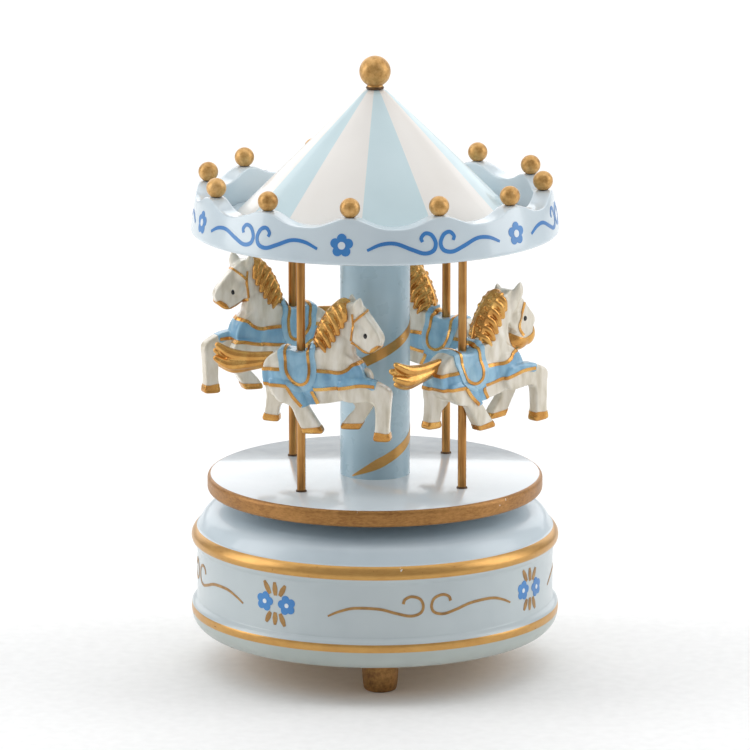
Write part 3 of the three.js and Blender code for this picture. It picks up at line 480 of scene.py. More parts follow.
def on_wall(azimuth, height, radius):
    """A point in mm on a round wall. Azimuth runs from the front towards +X."""
    turn = math.radians(azimuth)
    return Vector((radius * math.sin(turn), -radius * math.cos(turn), height))


def ball_outline(middle, radius, foot, steps):
    """A ball's outline as (radius, height) points, from its foot, an angle in degrees, to its top."""
    points = []
    for k in range(steps + 1):
        turn = math.radians(foot + (88 - foot) * k / steps)
        points.append((radius * math.cos(turn), middle + radius * math.sin(turn)))
    return points


# ---------------------------------------------------------------- turned wood

shell = spun(
    "base_turning",
    softened([
        (5, BASE_HIGH), (5, 40), (40.5, 40), (40.5, 13.4), (44, 13.4), (44, BASE_LOW),
        (45.8, BASE_LOW), (49.2, 11.0, 2), (51.5, 13.6, 2), (51.95, LOW_BEAD[0]),
        (52.05, 17.0, 0.7), (51.9, LOW_BEAD[1]), (51.4, 18.9, 0.5), (50.9, 19.3), (50.4, 19.7, 0.3),
        (50.4, 34.2), (50.6, 34.9, 0.4), (51.2, 35.6, 0.5), (51.7, 36.4), (51.75, HIGH_BEAD[0]),
        (52.0, 37.3, 0.5), (51.9, 38.4, 0.8), (51.2, 39.5, 0.6), (50.5, 40.2), (50.1, 40.4, 0.3),
        (49.5, 41.6, 1.2), (48.2, 43.8, 1.4), (46.2, 45.3, 1.6), (43.0, 46.1, 1.5), (23, 46.6, 8),
        (8, BASE_HIGH, 4), (5, BASE_HIGH),
    ]),
    BASE_BLUE,
)
# Painted shade: the band between the beads gets a darker copy of the base lacquer.
paint_between(shell, SHADED_BAND_BLUE, LOW_BEAD[1], HIGH_BEAD[0], BEAD_FOOT)
# Painted shade: the base below its lower bead gets a darker copy of the base lacquer.
paint_between(shell, SHADED_LOW_BLUE, BASE_LOW, LOW_BEAD[0], UNDERSIDE_FOOT)
paint_between(shell, BEAD_GOLD, *LOW_BEAD, BEAD_FOOT)
paint_between(shell, BEAD_GOLD, *HIGH_BEAD, BEAD_FOOT)
stand_in(shell, "base", "base_shell")

for node in ("foot_front", "foot_back_right", "foot_back_left"):
    middle = centre_of(node)
    foot = spun(
        node + "_turning",
        softened([
            (0, 0), (3.9, 0), (4.5, 0.35, 0.4), (4.8, 1.6, 0.9), (5.1, 4.5, 1.5), (5.1, 9.0, 0.5),
            (4.7, 9.8, 0.3), (1.5, 9.8), (1.5, 12.0), (0, 12.0),
        ]),
        FOOT_GOLD, centre=(middle.x, middle.y), around=56,
    )
    stand_in(foot, "base", node)

deck = spun(
    "deck_turning",
    softened([
        (0, DECK_LOW), (46.4, DECK_LOW, 0.2), (DECK_RADIUS - 0.35, DECK_LOW + 0.25, 0.25),
        (DECK_RADIUS, DECK_LOW + 0.9, 0.4), (DECK_RADIUS, DECK_HIGH - 0.9, 0.5),
        (DECK_RADIUS - 0.3, DECK_HIGH - 0.25, 0.3), (DECK_RADIUS - 0.9, DECK_HIGH), (0, DECK_HIGH),
    ]),
    DECK_BLUE,
)
paint_between(deck, DECK_GOLD, DECK_LOW + 0.01, DECK_HIGH - 0.02, DECK_EDGE)
stand_in(deck, "turntable", "platform")

low, high = heights("column")
column = spun(
    "column_turning",
    softened([
        (0, low), (9.6, low), (COLUMN_RADIUS, low + 0.25, 0.15), (COLUMN_RADIUS, high - 0.3, 0.2),
        (9.5, high), (0, high),
    ]),
    COLUMN_BLUE, around=96,
)
stand_in(column, "turntable", "column")

for corner in ("front_left", "front_right", "back_right", "back_left"):
    middle = centre_of("pole_" + corner)
    low, high = heights("pole_" + corner)
    pole = spun(
        "pole_" + corner + "_rod",
        softened([
            (0, low), (POLE_RADIUS, low), (POLE_RADIUS, DECK_HIGH), (POLE_RADIUS + 0.35, DECK_HIGH),
            (POLE_RADIUS + 0.3, DECK_HIGH + 0.35, 0.2), (POLE_RADIUS, DECK_HIGH + 0.5),
            (POLE_RADIUS, high - 0.2, 0.1), (POLE_RADIUS - 0.2, high), (0, high),
        ]),
        POLE_GOLD, centre=(middle.x, middle.y), around=32,
    )
    # painted shade round the pole's foot, where it meets the deck
    paint_between(pole, NECK_SHADE, DECK_HIGH, DECK_HIGH + POLE_FOOT_SHADE)
    stand_in(pole, "turntable", "pole_" + corner)

low, high = heights("canopy_board")
edge = radius_of("canopy_board")
board = spun(
    "canopy_board_turning",
    softened([
        (0, low), (edge - 0.5, low), (edge, low + 0.5, 0.3), (edge, high - 0.4, 0.3), (edge - 0.4, high),
        (0, high),
    ]),
    CROWN_BLUE,
)
stand_in(board, "turntable", "canopy_board")


def wave(azimuth):
    """Depth of the crown's scalloped edge below its peaks."""
    crest = (1 + math.cos(math.radians(WAVES * (azimuth - WAVE_START)))) / 2
    return WAVE_DEPTH * (1 - crest**1.4)


def crown_wall(height):
    """Radius of the crown's wall, which leans a little inwards."""
    return CROWN_FOOT - (height - CROWN_WALL) * LEAN


crown = spun(
    "crown_turning",
    softened([
        (CROWN_BORE, CROWN_LOW + 0.2), (CROWN_BORE + 0.2, CROWN_LOW), (51.0, CROWN_LOW),
        (51.55, CROWN_LOW + 0.25, 0.3), (CROWN_FOOT, CROWN_WALL, 0.4),
        (crown_wall(CROWN_WALL + 4), CROWN_WALL + 4), (crown_wall(CROWN_WALL + 8), CROWN_WALL + 8),
        (CROWN_RIM + 0.1, CROWN_PEAK - 0.7), (CROWN_RIM - 0.1, CROWN_PEAK - 0.1, 0.5),
        (CROWN_RIM - 0.9, CROWN_PEAK, 0.3), (CROWN_BORE + 1.0, CROWN_PEAK),
        (CROWN_BORE + 0.15, CROWN_PEAK - 0.1, 0.4), (CROWN_BORE, CROWN_PEAK - 0.7), (CROWN_BORE, 131),
        (CROWN_BORE, CROWN_LOW + 0.2),
    ], 4),
    CROWN_BLUE, around=288,
)
for vertex in crown.data.vertices:
    spot = vertex.co / MM
    if spot.z > WAVE_LOW:
        azimuth = math.degrees(math.atan2(spot.x, -spot.y))
        lower = wave(azimuth) * (spot.z - WAVE_LOW) / (CROWN_PEAK - WAVE_LOW)
        if math.hypot(spot.x, spot.y) > CROWN_INSIDE:
            grow = 1 + lower * LEAN / CROWN_RIM
            vertex.co.x *= grow
            vertex.co.y *= grow
        vertex.co.z -= lower * MM
crown.data.update()
pick(crown)
bpy.ops.object.shade_smooth_by_angle(angle=SHARP_CARVED)
stand_in(crown, "turntable", "crown_ring")

# The roof: twelve stripes masked and sprayed by hand, so their widths differ a little. The blue ones
# are given by their azimuths.
BLUE_STRIPES = ((-186, -156), (-126, -98), (-68, -42), (-6, 26), (68, 96), (124, 150))
low, high = heights("roof_cone")
roof = spun(
    "roof_turning",
    softened([
        (0, low), (39.2, low), (39.6, low + 0.35, 0.2), (22.3, 146.3, 30), (3.7, 164.2, 1.2),
        (2.6, high - 0.05), (0, high),
    ]),
    ROOF_WHITE, around=180,
)
roof.data.materials.append(ROOF_BLUE)
for face in roof.data.polygons:
    azimuth = math.degrees(math.atan2(face.center.x, -face.center.y))
    if any(start < azimuth < end or start < azimuth - 360 < end for start, end in BLUE_STRIPES):
        face.material_index = 1
stand_in(roof, "turntable", "roof_cone")

for number in range(1, WAVES + 1):
    node = f"rim_ball_{number:02d}"
    spot = centre_of(node)
    top = heights(node)[1]
    middle = top - RIM_BALL
    ball = spun(
        node + "_turning",
        [
            (0, CROWN_PEAK - 1.0), (0.8, CROWN_PEAK - 1.0), (0.8, CROWN_PEAK - 0.3), (1.5, CROWN_PEAK + 0.1),
            *ball_outline(middle, RIM_BALL, -57, 14), (0, top),
        ],
        BALL_GOLD, centre=(spot.x, spot.y), around=36,
    )
    # painted shade on the neck under the ball
    paint_between(ball, NECK_SHADE, CROWN_PEAK - 2, middle - RIM_NECK)
    stand_in(ball, "turntable", node)

low, high = heights("finial")
finial = spun(
    "finial_turning",
    [
        (0, low), (0.8, low), (0.8, FINIAL_SEAT), (2.3, FINIAL_SEAT), (2.6, FINIAL_SEAT + 0.3),
        (2.3, FINIAL_SEAT + 0.8), (2.1, FINIAL_SEAT + 1.2),
        *ball_outline(high - FINIAL_BALL, FINIAL_BALL, -60, 18), (0, high),
    ],
    BALL_GOLD, around=48,
)
# painted shade on the finial's peg and the lower half of its collar
paint_between(finial, NECK_SHADE, low, FINIAL_SEAT + 0.85)
stand_in(finial, "turntable", "finial")


# ---------------------------------------------------------------- painted ornaments

PAINT = 0.09  # paint stands this proud of the wall, in mm
PAINT_DEPTH = 0.25  # and reaches this far in
ACROSS = 4  # points across a stroke
PETALS = 5


def brushed(name, path, widths, wall, surface):
    """A painted stroke: a grid laid along (azimuth, height) points on a round wall, widths in mm."""
    rows = smooth_path([(a, h, w) for (a, h), w in zip(path, widths)], 10)
    alone()
    bpy.ops.mesh.primitive_grid_add(x_subdivisions=len(rows) - 1, y_subdivisions=ACROSS - 1, size=MM)
    piece = bpy.context.object
    for i, row in enumerate(rows):
        before, after = rows[max(i - 1, 0)], rows[min(i + 1, len(rows) - 1)]
        arc = math.radians(1) * wall(row[1])
        along = Vector(((after[0] - before[0]) * arc, after[1] - before[1])).normalized()
        for j in range(ACROSS):
            shift = (j / (ACROSS - 1) - 0.5) * row[2]
            azimuth = row[0] - along.y * shift / arc
            height = row[1] + along.x * shift
            piece.data.vertices[j * len(rows) + i].co = on_wall(azimuth, height, wall(height) + PAINT) * MM
    piece.data.update()
    modify(piece, "SOLIDIFY", thickness=PAINT_DEPTH * MM, offset=-1)
    bpy.ops.object.mode_set(mode="EDIT")
    return close(piece, name, surface)


def blossom(name, azimuth, height, reach, petal, wall, surface, lift=0.0, tilt=90.0):
    """A flat painted flower or dot on a round wall: its outline is the join of round petals."""
    alone()
    bpy.ops.mesh.primitive_circle_add(vertices=100, radius=MM, fill_type="TRIFAN")
    piece = bpy.context.object
    part = 360 / PETALS
    arc = math.radians(1) * wall(height)
    for vertex in piece.data.vertices:
        if vertex.co.length < 0.1 * MM:
            azimuth_here, height_here = azimuth, height
        else:
            turn = math.degrees(math.atan2(vertex.co.y, vertex.co.x))
            off = math.radians((turn - tilt + part / 2) % part - part / 2)
            side = reach * math.sin(off)
            radius = reach * math.cos(off) + math.sqrt(max(petal**2 - side**2, 0))
            azimuth_here = azimuth + radius * math.cos(math.radians(turn)) / arc
            height_here = height + radius * math.sin(math.radians(turn))
        vertex.co = on_wall(azimuth_here, height_here, wall(height_here) + PAINT + lift) * MM
    piece.data.update()
    modify(piece, "SOLIDIFY", thickness=PAINT_DEPTH * MM, offset=-1)
    bpy.ops.object.mode_set(mode="EDIT")
    return close(piece, name, surface)


def joined(pieces, name):
    alone()
    for piece in pieces:
        piece.select_set(True)
    bpy.context.view_layer.objects.active = pieces[0]
    bpy.ops.object.join()
    pieces[0].name = name
    pieces[0].data.name = name
    return pieces[0]


def repeated(piece, name, places, body):
    """Copies an ornament round the object, to azimuths in degrees; the first one is where it is."""
    for k, place in enumerate(places):
        twin = piece if k == 0 else around_axis(piece, place - places[0], f"{name}_{k + 1:02d}")
        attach(twin, body)
    piece.name = piece.data.name = name + "_01"


def band_wall(height):
    """The base's band is upright, and so is the column."""
    return BAND_RADIUS


def column_wall(height):
    return COLUMN_RADIUS


# Scrolls are drawn as one half, in degrees from their middle and heights in mm, and mirrored.
BAND_SCROLL = [
    (-31.7, 25.7), (-28.0, 27.2), (-23.1, 28.3), (-15.5, 28.1), (-10.0, 26.8), (-5.5, 25.9), (-2.3, 26.6),
    (-1.35, 28.5), (-2.4, 30.6), (-5.1, 31.4), (-7.2, 30.7), (-7.8, 29.4),
]
BAND_WIDTHS = [0.5, 0.7] + [0.8] * 9 + [0.85]
# Painted by eye, so the gaps round the band are not all alike. The first place is where it is modelled.
SCROLL_PLACES = (16.7, 106, 193, -78.5)
CLUSTER_PLACES = (-33.2, 59.4, 150, 237)
halves = []
for side in (1, -1):
    path = [(SCROLL_PLACES[0] + side * a, h) for a, h in BAND_SCROLL]
    halves.append(brushed("band_scroll_half", path, BAND_WIDTHS, band_wall, ORNAMENT_GOLD))
repeated(joined(halves, "band_scrolls"), "band_scrolls", SCROLL_PLACES, "base")

# A cluster is two flowers with three leaves above and three below, in mm from its middle.
CLUSTER = CLUSTER_PLACES[0]
ARC = 1.137  # degrees for each mm round the band
LEAVES = (
    ((-1.8, 2.7), (-3.8, 6.2)), ((0, 2.4), (-0.3, 6.2)), ((1.4, 2.4), (3.2, 5.6)),
    ((-1.7, -2.5), (-3.2, -5.5)), ((-0.1, -2.4), (-0.2, -6.0)), ((1.5, -2.6), (3.0, -6.1)),
)
blooms, hearts, leaves = [], [], []
for side in (-1, 1):
    spot = (CLUSTER + side * 3.65 * ARC, BAND_MIDDLE + 0.15 - side * 0.2)
    blooms.append(blossom("bloom", *spot, 1.6, 1.22, band_wall, ORNAMENT_BLUE, tilt=90 + side * 12))
    hearts.append(blossom("heart", *spot, 0.05, 0.6, band_wall, FLOWER_WHITE, lift=0.06))
for inner, outer in LEAVES:
    middle = ((inner[0] + outer[0]) / 2, (inner[1] + outer[1]) / 2)
    path = [(CLUSTER + x * ARC, BAND_MIDDLE + z) for x, z in (inner, middle, outer)]
    leaves.append(brushed("leaf", path, [1.0, 1.6, 0.8], band_wall, ORNAMENT_GOLD))
repeated(joined(blooms, "band_flowers"), "band_flowers", CLUSTER_PLACES, "base")
repeated(joined(hearts, "band_flower_centres"), "band_flower_centres", CLUSTER_PLACES, "base")
repeated(joined(leaves, "band_leaves"), "band_leaves", CLUSTER_PLACES, "base")

CROWN_SCROLL = [
    (-22.2, 129.2), (-18.0, 130.8), (-13.5, 131.0), (-8.5, 129.3), (-4.6, 128.1), (-1.7, 128.7),
    (-0.8, 130.7), (-2.0, 132.9), (-4.0, 133.5), (-5.4, 132.3), (-5.0, 131.2),
]
CROWN_WIDTHS = [0.75, 1.0, 1.05, 1.1, 1.1, 1.15, 1.1, 1.1, 1.05, 1.0, 0.9]
CROWN_SCROLL_MIDDLE = 19.8  # azimuth of the first scroll on the crown
CROWN_FLOWER = (-10.3, 130.4)  # azimuth and height of the first flower
SIXTHS = range(0, 360, 60)
halves = []
for side in (1, -1):
    path = [(CROWN_SCROLL_MIDDLE + side * a, h) for a, h in CROWN_SCROLL]
    halves.append(brushed("crown_scroll_half", path, CROWN_WIDTHS, crown_wall, ORNAMENT_BLUE))
repeated(joined(halves, "crown_scrolls"), "crown_scrolls", SIXTHS, "turntable")
flower = blossom("crown_flower", *CROWN_FLOWER, 1.9, 1.35, crown_wall, ORNAMENT_BLUE)
repeated(flower, "crown_flowers", SIXTHS, "turntable")
heart = blossom("crown_heart", *CROWN_FLOWER, 0.05, 0.98, crown_wall, FLOWER_WHITE, lift=0.06)
repeated(heart, "crown_flower_centres", SIXTHS, "turntable")

# Gold ribbon painted up the column: one long right-handed spiral, pointed at both ends.
RIBBON_START, RIBBON_END, RIBBON_STEP = -40, 575, 15  # azimuths
RIBBON_FOOT = 55.8
RIBBON_PITCH = 31.2
RIBBON_WIDTH, RIBBON_TIP = 2.8, 0.3
ribbon_path, ribbon_widths = [], []
for azimuth in range(RIBBON_START, RIBBON_END + 1, RIBBON_STEP):
    from_start = (azimuth - RIBBON_START) / RIBBON_STEP
    to_end = (RIBBON_END - azimuth) / RIBBON_STEP
    ribbon_path.append((azimuth, RIBBON_FOOT + (azimuth - RIBBON_START) / 360 * RIBBON_PITCH))
    ribbon_widths.append(min(RIBBON_TIP + 0.9 * from_start, RIBBON_WIDTH, RIBBON_TIP + 1.2 * to_end))
ribbon = brushed("column_ribbon", ribbon_path, ribbon_widths, column_wall, BEAD_GOLD)
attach(ribbon, "turntable")


# ---------------------------------------------------------------- carved horses

# Horses are modelled at the origin, where the pole's axis meets the saddle's top. They face +X, and
# their outer side is -Y. Outlines are (forward, up) in mm.
OUTER_LEGS = (-4.9, -1.5)  # from one side of a leg to the other
INNER_LEGS = (1.5, 4.9)


def plate(outline, low, high):
    """In edit mode, adds a plate cut to an outline, from one width to another."""
    draw([(x, low, z) for x, z in outline])
    bpy.ops.mesh.select_linked()
    bpy.ops.mesh.edge_face_add()
    bpy.ops.mesh.extrude_region_move(TRANSFORM_OT_translate={"value": (0, (high - low) * MM, 0)})


def lump(centre, radii):
    """In edit mode, adds a rounded mass of wood."""
    spot = Vector(centre) * MM
    bpy.ops.mesh.primitive_uv_sphere_add(segments=24, ring_count=14, radius=MM, location=spot)
    bpy.ops.transform.resize(value=radii, center_override=spot)


def strand(points, radii, flat=1.0, per=4):
    """In edit mode, adds a tapered rounded strand through the points."""
    for x, y, z, radius in smooth_path([(*p, r) for p, r in zip(points, radii)], per):
        spot = Vector((x, y, z)) * MM
        bpy.ops.mesh.primitive_ico_sphere_add(subdivisions=2, radius=max(radius, 0.2) * MM, location=spot)
        if flat != 1.0:
            bpy.ops.transform.resize(value=(1, flat, 1), center_override=spot)


def carve(piece, voxel, rounds, name, surface):
    """Joins a piece's masses into one carved skin and sands it."""
    modify(piece, "REMESH", mode="VOXEL", voxel_size=voxel * MM)
    modify(piece, "SMOOTH", factor=0.5, iterations=rounds)
    bpy.ops.object.shade_smooth()
    piece.name = piece.data.name = name
    piece.data.materials.clear()
    piece.data.materials.append(surface)
    return piece


def model_body():
    piece = begin()
    plate(smooth_path([
        (-11.7, -6), (-10.8, -1.9), (-7, 0.5), (-3.5, 0.4), (0, -0.2), (4, 1.2), (9, 1.4), (14.6, -0.8),
        (18.0, -4.4), (18.4, -8.5), (15.3, -12.0), (8, -13.9), (0, -14.3), (-5, -13.4), (-10.2, -11),
    ], 4, True), -3.5, 3.5)
    lump((-6.0, 0, -6.0), (5.9, 4.6, 6.4))
    lump((2.5, 0, -7.2), (10.5, 4.6, 6.9))
    lump((12.6, 0, -6.2), (6.0, 4.4, 6.6))
    lump((10.6, 0, 0.6), (5.2, 3.6, 6.4))
    plate(smooth_path([
        (3, 1), (5.4, 6.2), (8.6, 11.2), (12.2, 13.8), (15.3, 13.2), (15.6, 8.5), (15.0, 3.4), (15.6, -1.2),
        (17.0, -5.6), (8, -7),
    ], 3, True), -2.3, 2.3)
    plate(smooth_path([
        (11.6, -7.5), (19.2, -6.6), (25.0, -8.7), (26.8, -10.6), (26.5, -14.0), (26.0, -19.6), (26.0, -22.0),
        (26.3, -23.6), (25.6, -24.1), (22.0, -24.1), (21.3, -23.6), (21.6, -22.0), (21.9, -19.6),
        (21.9, -15.4), (20.4, -13.2), (12.4, -13),
    ], 3, True), *OUTER_LEGS)
    plate(smooth_path([
        (11, -9), (18.4, -8), (20.8, -12), (20.5, -15), (17.6, -19.4), (16.2, -21.6), (15.6, -22.2),
        (10.9, -22.2), (10.3, -21.6), (12.0, -19.0), (14.8, -15.8), (11.6, -12.8),
    ], 3, True), *INNER_LEGS)
    plate(smooth_path([
        (-9.4, -7.5), (-1.4, -9), (1.6, -14.4), (5.2, -20.0), (6.2, -21.7), (5.4, -22.3), (0.6, -22.3),
        (0.1, -21.4), (-1.6, -18.2), (-3.4, -14.6), (-7.4, -13),
    ], 3, True), *OUTER_LEGS)
    plate(smooth_path([
        (-11.4, -7), (-3.5, -8), (-4.8, -13.6), (-7.6, -15.8), (-8.3, -18.2), (-8.2, -20.0), (-8.8, -20.5),
        (-12.4, -20.3), (-13.1, -19.6), (-12.4, -17.8), (-11.8, -13.6),
    ], 3, True), *INNER_LEGS)
    lump((-5.6, 0.2, 0.35), (1.7, 3.2, 0.9))
    lump((3.0, 0, 1.0), (1.1, 2.4, 0.9))
    return close(piece, "horse_body", None)


def model_head(turn, ahead, jaw):
    """The head, turned by some degrees and set ahead by some mm, with masses for its lower jaw."""
    piece = begin()
    plate(smooth_path([
        (12.2, 9.5), (13.2, 13.6), (15.6, 14.6), (18.0, 13.2), (20.0, 11.0), (22.4, 8.0), (24.3, 5.2),
        (24.3, 3.4), (22.9, 1.6), (20.6, 0.4), (18.2, 1.2), (15.4, 3.4), (13.6, 6.6),
    ], 3, True), -2.0, 2.0)
    lump((16.0, 0, 10.6), (3.0, 2.9, 3.4))
    lump((17.2, 0, 6.4), (3.0, 2.75, 3.2))
    lump((22.3, 0, 3.6), (2.2, 2.1, 2.2))
    for centre, radii in jaw:
        lump(centre, radii)
    strand([(16.9, -1.8, 11.6), (17.8, -2.3, 13.6), (18.5, -2.5, 16.0)], [1.6, 1.85, 0.5], 0.6, 8)
    strand([(14.2, 1.7, 12.2), (14.0, 1.9, 14.0), (13.9, 2.0, 16.0)], [1.4, 1.45, 0.45], 0.6, 7)
    close(piece, "horse_head", None)
    neck = Matrix.Translation((14 * MM, 0, 0))
    forward = Matrix.Translation((ahead * MM, 0, 0))
    piece.data.transform(forward @ neck @ Matrix.Rotation(math.radians(turn), 4, "Z") @ neck.inverted())
    return piece


def model_skin(turn, ahead, jaw):
    """Body and head as one carved skin."""
    masses = [model_body(), model_head(turn, ahead, jaw)]
    return carve(joined(masses, "horse_skin"), 0.33, 7, "horse_skin", HORSE_WHITE)


def coat(skin, name, outlines, lift, surface, low=-9.0, high=9.0):
    """A coat of paint or a cloth on the horse: its skin grown a little and cut to side outlines."""
    cut = []
    for outline in outlines:
        cutter = begin()
        plate(outline, low, high)
        close(cutter, "cutter", None)
        layer = skin.copy()
        layer.data = skin.data.copy()
        bpy.context.scene.collection.objects.link(layer)
        modify(layer, "DISPLACE", strength=lift * MM, mid_level=0)
        modify(layer, "BOOLEAN", operation="INTERSECT", object=cutter, solver="MANIFOLD")
        bpy.data.objects.remove(cutter)
        cut.append(layer)
    piece = joined(cut, name) if len(cut) > 1 else cut[0]
    piece.name = piece.data.name = name
    piece.data.materials.clear()
    piece.data.materials.append(surface)
    for face in piece.data.polygons:
        face.material_index = 0
    pick(piece)
    bpy.ops.object.shade_smooth_by_angle(angle=SHARP_CARVED)
    return piece


def line(points, width, per=5):
    """The outline of a line of even width through the points."""
    path = smooth_path(points, per)
    left, right = [], []
    for i, here in enumerate(path):
        ahead = path[min(i + 1, len(path) - 1)] - path[max(i - 1, 0)]
        side = Vector((-ahead.y, ahead.x)).normalized() * width / 2
        left.append(tuple(here + side))
        right.append(tuple(here - side))
    return left + right[::-1]


def model_harness(skin):
    """The skin, and the cloth, straps, trims and hooves painted on it: each is (piece, part, slot)."""
    return [
        (skin, "skin", "horse_white"),
        (coat(skin, "harness_band", [smooth_path([
            (-13, -4.6), (-6, -4.4), (4, -4.6), (11, -5.0), (14.0, -4.0), (16.2, -2.6), (22, -3.2),
            (22, -9.4), (17.5, -8.2), (12.5, -9.0), (4, -9.8), (-6, -8.6), (-13, -8.4),
        ], 4, True)], 0.16, HARNESS_BLUE), "band", "harness_blue"),
        (coat(skin, "harness_trim", [
            line([
                (-13, -4.5), (-6, -4.3), (4, -4.5), (10.6, -5.0), (13.6, -4.2), (15.8, -2.6), (20, -2.2),
            ], 0.95),
            line([(-13, -8.6), (-6, -8.8), (4, -9.9), (12.5, -9.2), (17.5, -8.4), (22, -8.6)], 0.95),
        ], 0.28, HORSE_GOLD), "trim", "horse_gold"),
        (coat(skin, "girth_strap", [
            [(-4.1, -8.8), (3.3, -8.8), (4.6, -12.6), (4.4, -14.2), (2.4, -14.3), (0.4, -14.9)],
        ], 0.3, HARNESS_BLUE), "girth", "harness_blue"),
        (coat(skin, "girth_trim", [
            line([(-4.2, -9.0), (-2.4, -11.8), (0.2, -14.6)], 0.95),
            line([(3.1, -10.4), (3.8, -12.0), (4.8, -14.0)], 1.0),
        ], 0.42, HORSE_GOLD), "girth_trim", "horse_gold"),
        (coat(skin, "saddle_cloth", [smooth_path([
            (-6.2, 2), (-6.4, -3.2), (-5.3, -6.9), (-3.2, -9.5), (-0.3, -10.6), (2.4, -9.9), (4.1, -7.7),
            (4.7, -4.7), (4.1, -0.9), (3.3, 3.0),
        ], 4, True)], 0.5, HARNESS_PALE), "saddle_cloth", "harness_blue"),
        (coat(skin, "saddle_trim", [line([
            (-4.9, 2.5), (-4.6, -1.4), (-4.2, -4.7), (-2.6, -7.4), (-0.2, -8.5), (1.9, -7.5), (2.6, -4.7),
            (2.2, -1.4), (1.9, 2.5),
        ], 0.85, 4)], 0.68, HORSE_GOLD), "saddle_trim", "horse_gold"),
        (coat(skin, "hooves_outer", [
            [(19.8, -21.7), (22.4, -21.5), (25.0, -21.9), (28.2, -21.6), (28.2, -25.6), (19.8, -25.6)],
            [(-3.2, -20.2), (0.5, -20.9), (3.5, -20.6), (7.6, -20.0), (7.6, -24.4), (-3.2, -24.4)],
        ], 0.14, HORSE_GOLD, -9, 0), "hooves_outer", "horse_gold"),
        (coat(skin, "hooves_inner", [
            [(8.4, -20.6), (13, -20.6), (18.4, -20.4), (18.4, -24.2), (8.4, -24.2)],
            [(-15, -17.8), (-11, -18.5), (-7, -18.9), (-7, -23.2), (-15, -23.2)],
        ], 0.14, HORSE_GOLD, 0, 9), "hooves_inner", "horse_gold"),
    ]


def model_mane():
    """A ridge along the neck, with six locks falling on each side."""
    piece = begin()
    plate(smooth_path([
        (3.6, 2.0), (4.9, 6.4), (7.9, 11.0), (11.4, 14.2), (13.6, 14.4), (12.6, 11.5), (10.6, 7.8),
        (8.4, 4.6), (6.4, 2.0),
    ], 3, True), -2.5, 2.5)
    ridge = [(4.0, 0, 2.8), (5.4, 0, 6.4), (8.4, 0, 10.8), (11.8, 0, 13.9), (13.4, 0, 14.2)]
    strand(ridge, [1.2, 1.5, 1.6, 1.5, 1.0], per=9)
    for side in (-1, 1):
        for root, bend, tip in (
            ((11.6, 14.0), (12.9, 12.4), (13.3, 9.8)), ((9.8, 13.0), (11.7, 10.9), (12.3, 7.9)),
            ((8.0, 11.3), (10.1, 9.0), (11.0, 5.9)), ((6.5, 9.0), (8.6, 6.9), (9.7, 4.0)),
            ((5.2, 6.5), (7.2, 4.9), (8.5, 2.2)), ((4.2, 4.0), (5.8, 2.9), (7.2, 0.8)),
        ):
            lock = [
                (root[0], side * 1.3, root[1]), (bend[0], side * 2.8, bend[1]), (tip[0], side * 2.9, tip[1]),
            ]
            strand(lock, [1.0, 1.0, 0.75], per=9)
    return carve(close(piece, "horse_mane", None), 0.22, 2, "horse_mane", HORSE_GOLD)


def model_tail():
    """Four locks that part a little and turn up at their tips."""
    piece = begin()
    for middle, bend, tip, drift in (
        ((-16, -1.7), (-21.4, -1.0), (-25.6, 1.4), -0.5), ((-16, -2.6), (-22, -2.4), (-26.4, -0.4), 0.6),
        ((-16, -3.6), (-22, -4.0), (-26.2, -2.4), -0.6), ((-15.6, -4.4), (-21, -5.3), (-25.0, -4.4), 0.5),
    ):
        lock = [
            (-9.6, 0, -2.2 + (middle[1] + 2.9) * 0.6), (middle[0], drift, middle[1]),
            (bend[0], drift * 1.4, bend[1]), (tip[0], drift, tip[1]),
        ]
        strand(lock, [1.4, 1.5, 1.6, 0.9], per=14)
    return carve(close(piece, "horse_tail", None), 0.26, 5, "horse_tail", HORSE_GOLD)


def model_tuft():
    """A small white tuft at the chest."""
    piece = begin()
    for side in (-0.7, 0.7):
        lock = [(17.6, side, -4.8), (19.2, side, -5.4), (20.0, side * 1.3, -7.0), (19.9, side * 1.5, -8.4)]
        strand(lock, [0.8, 0.8, 0.75, 0.4], per=6)
    return carve(close(piece, "horse_tuft", None), 0.24, 3, "horse_tuft", HORSE_WHITE)


def model_eyes(skin, ahead, up):
    """Two black dots, set on the skin at both sides of the head."""
    piece = begin()
    for side in (-1, 1):
        spot = skin.ray_cast(Vector((ahead, side * 12, up)) * MM, Vector((0, -side, 0)))[1]
        lump(spot / MM, (0.62, 0.3, 0.75))
    return close(piece, "horse_eyes", EYE_BLACK)


SHARED = [
    (model_mane(), "mane", "horse_gold"), (model_tail(), "tail", "horse_gold"),
    (model_tuft(), "tuft", "horse_white"),
]

# Three horses look a little outwards. Their bridle follows the cheek, with a gold dab for the mouth.
plain_skin = model_skin(-13, 0, ())
PLAIN_HORSE = model_harness(plain_skin) + [
    (coat(plain_skin, "bridle", [
        line([(15.4, 11.5), (15.5, 8.6), (15.0, 5.8), (14.7, 3.7)], 0.62),
        line([(15.5, 9.0), (17.4, 10.6), (19.6, 12.2)], 0.62),
        line([(14.8, 3.4), (16.6, 2.2), (18.2, 1.2), (20.4, 0.2)], 0.75),
    ], 0.22, HORSE_GOLD), "bridle", "horse_gold"),
    (coat(plain_skin, "mouth_patch", [softened([
        (20.3, 0.8), (20.9, -0.3, 0.4), (23.6, 0.9, 0.6), (24.2, 2.4, 0.7), (23.0, 3.1, 0.6),
        (21.0, 1.9, 0.5), (20.3, 0.8),
    ])[:-1]], 0.22, HORSE_GOLD), "mouth", "horse_gold"),
    (model_eyes(plain_skin, 19.2, 5.4), "eyes", "horse_white"),
] + SHARED

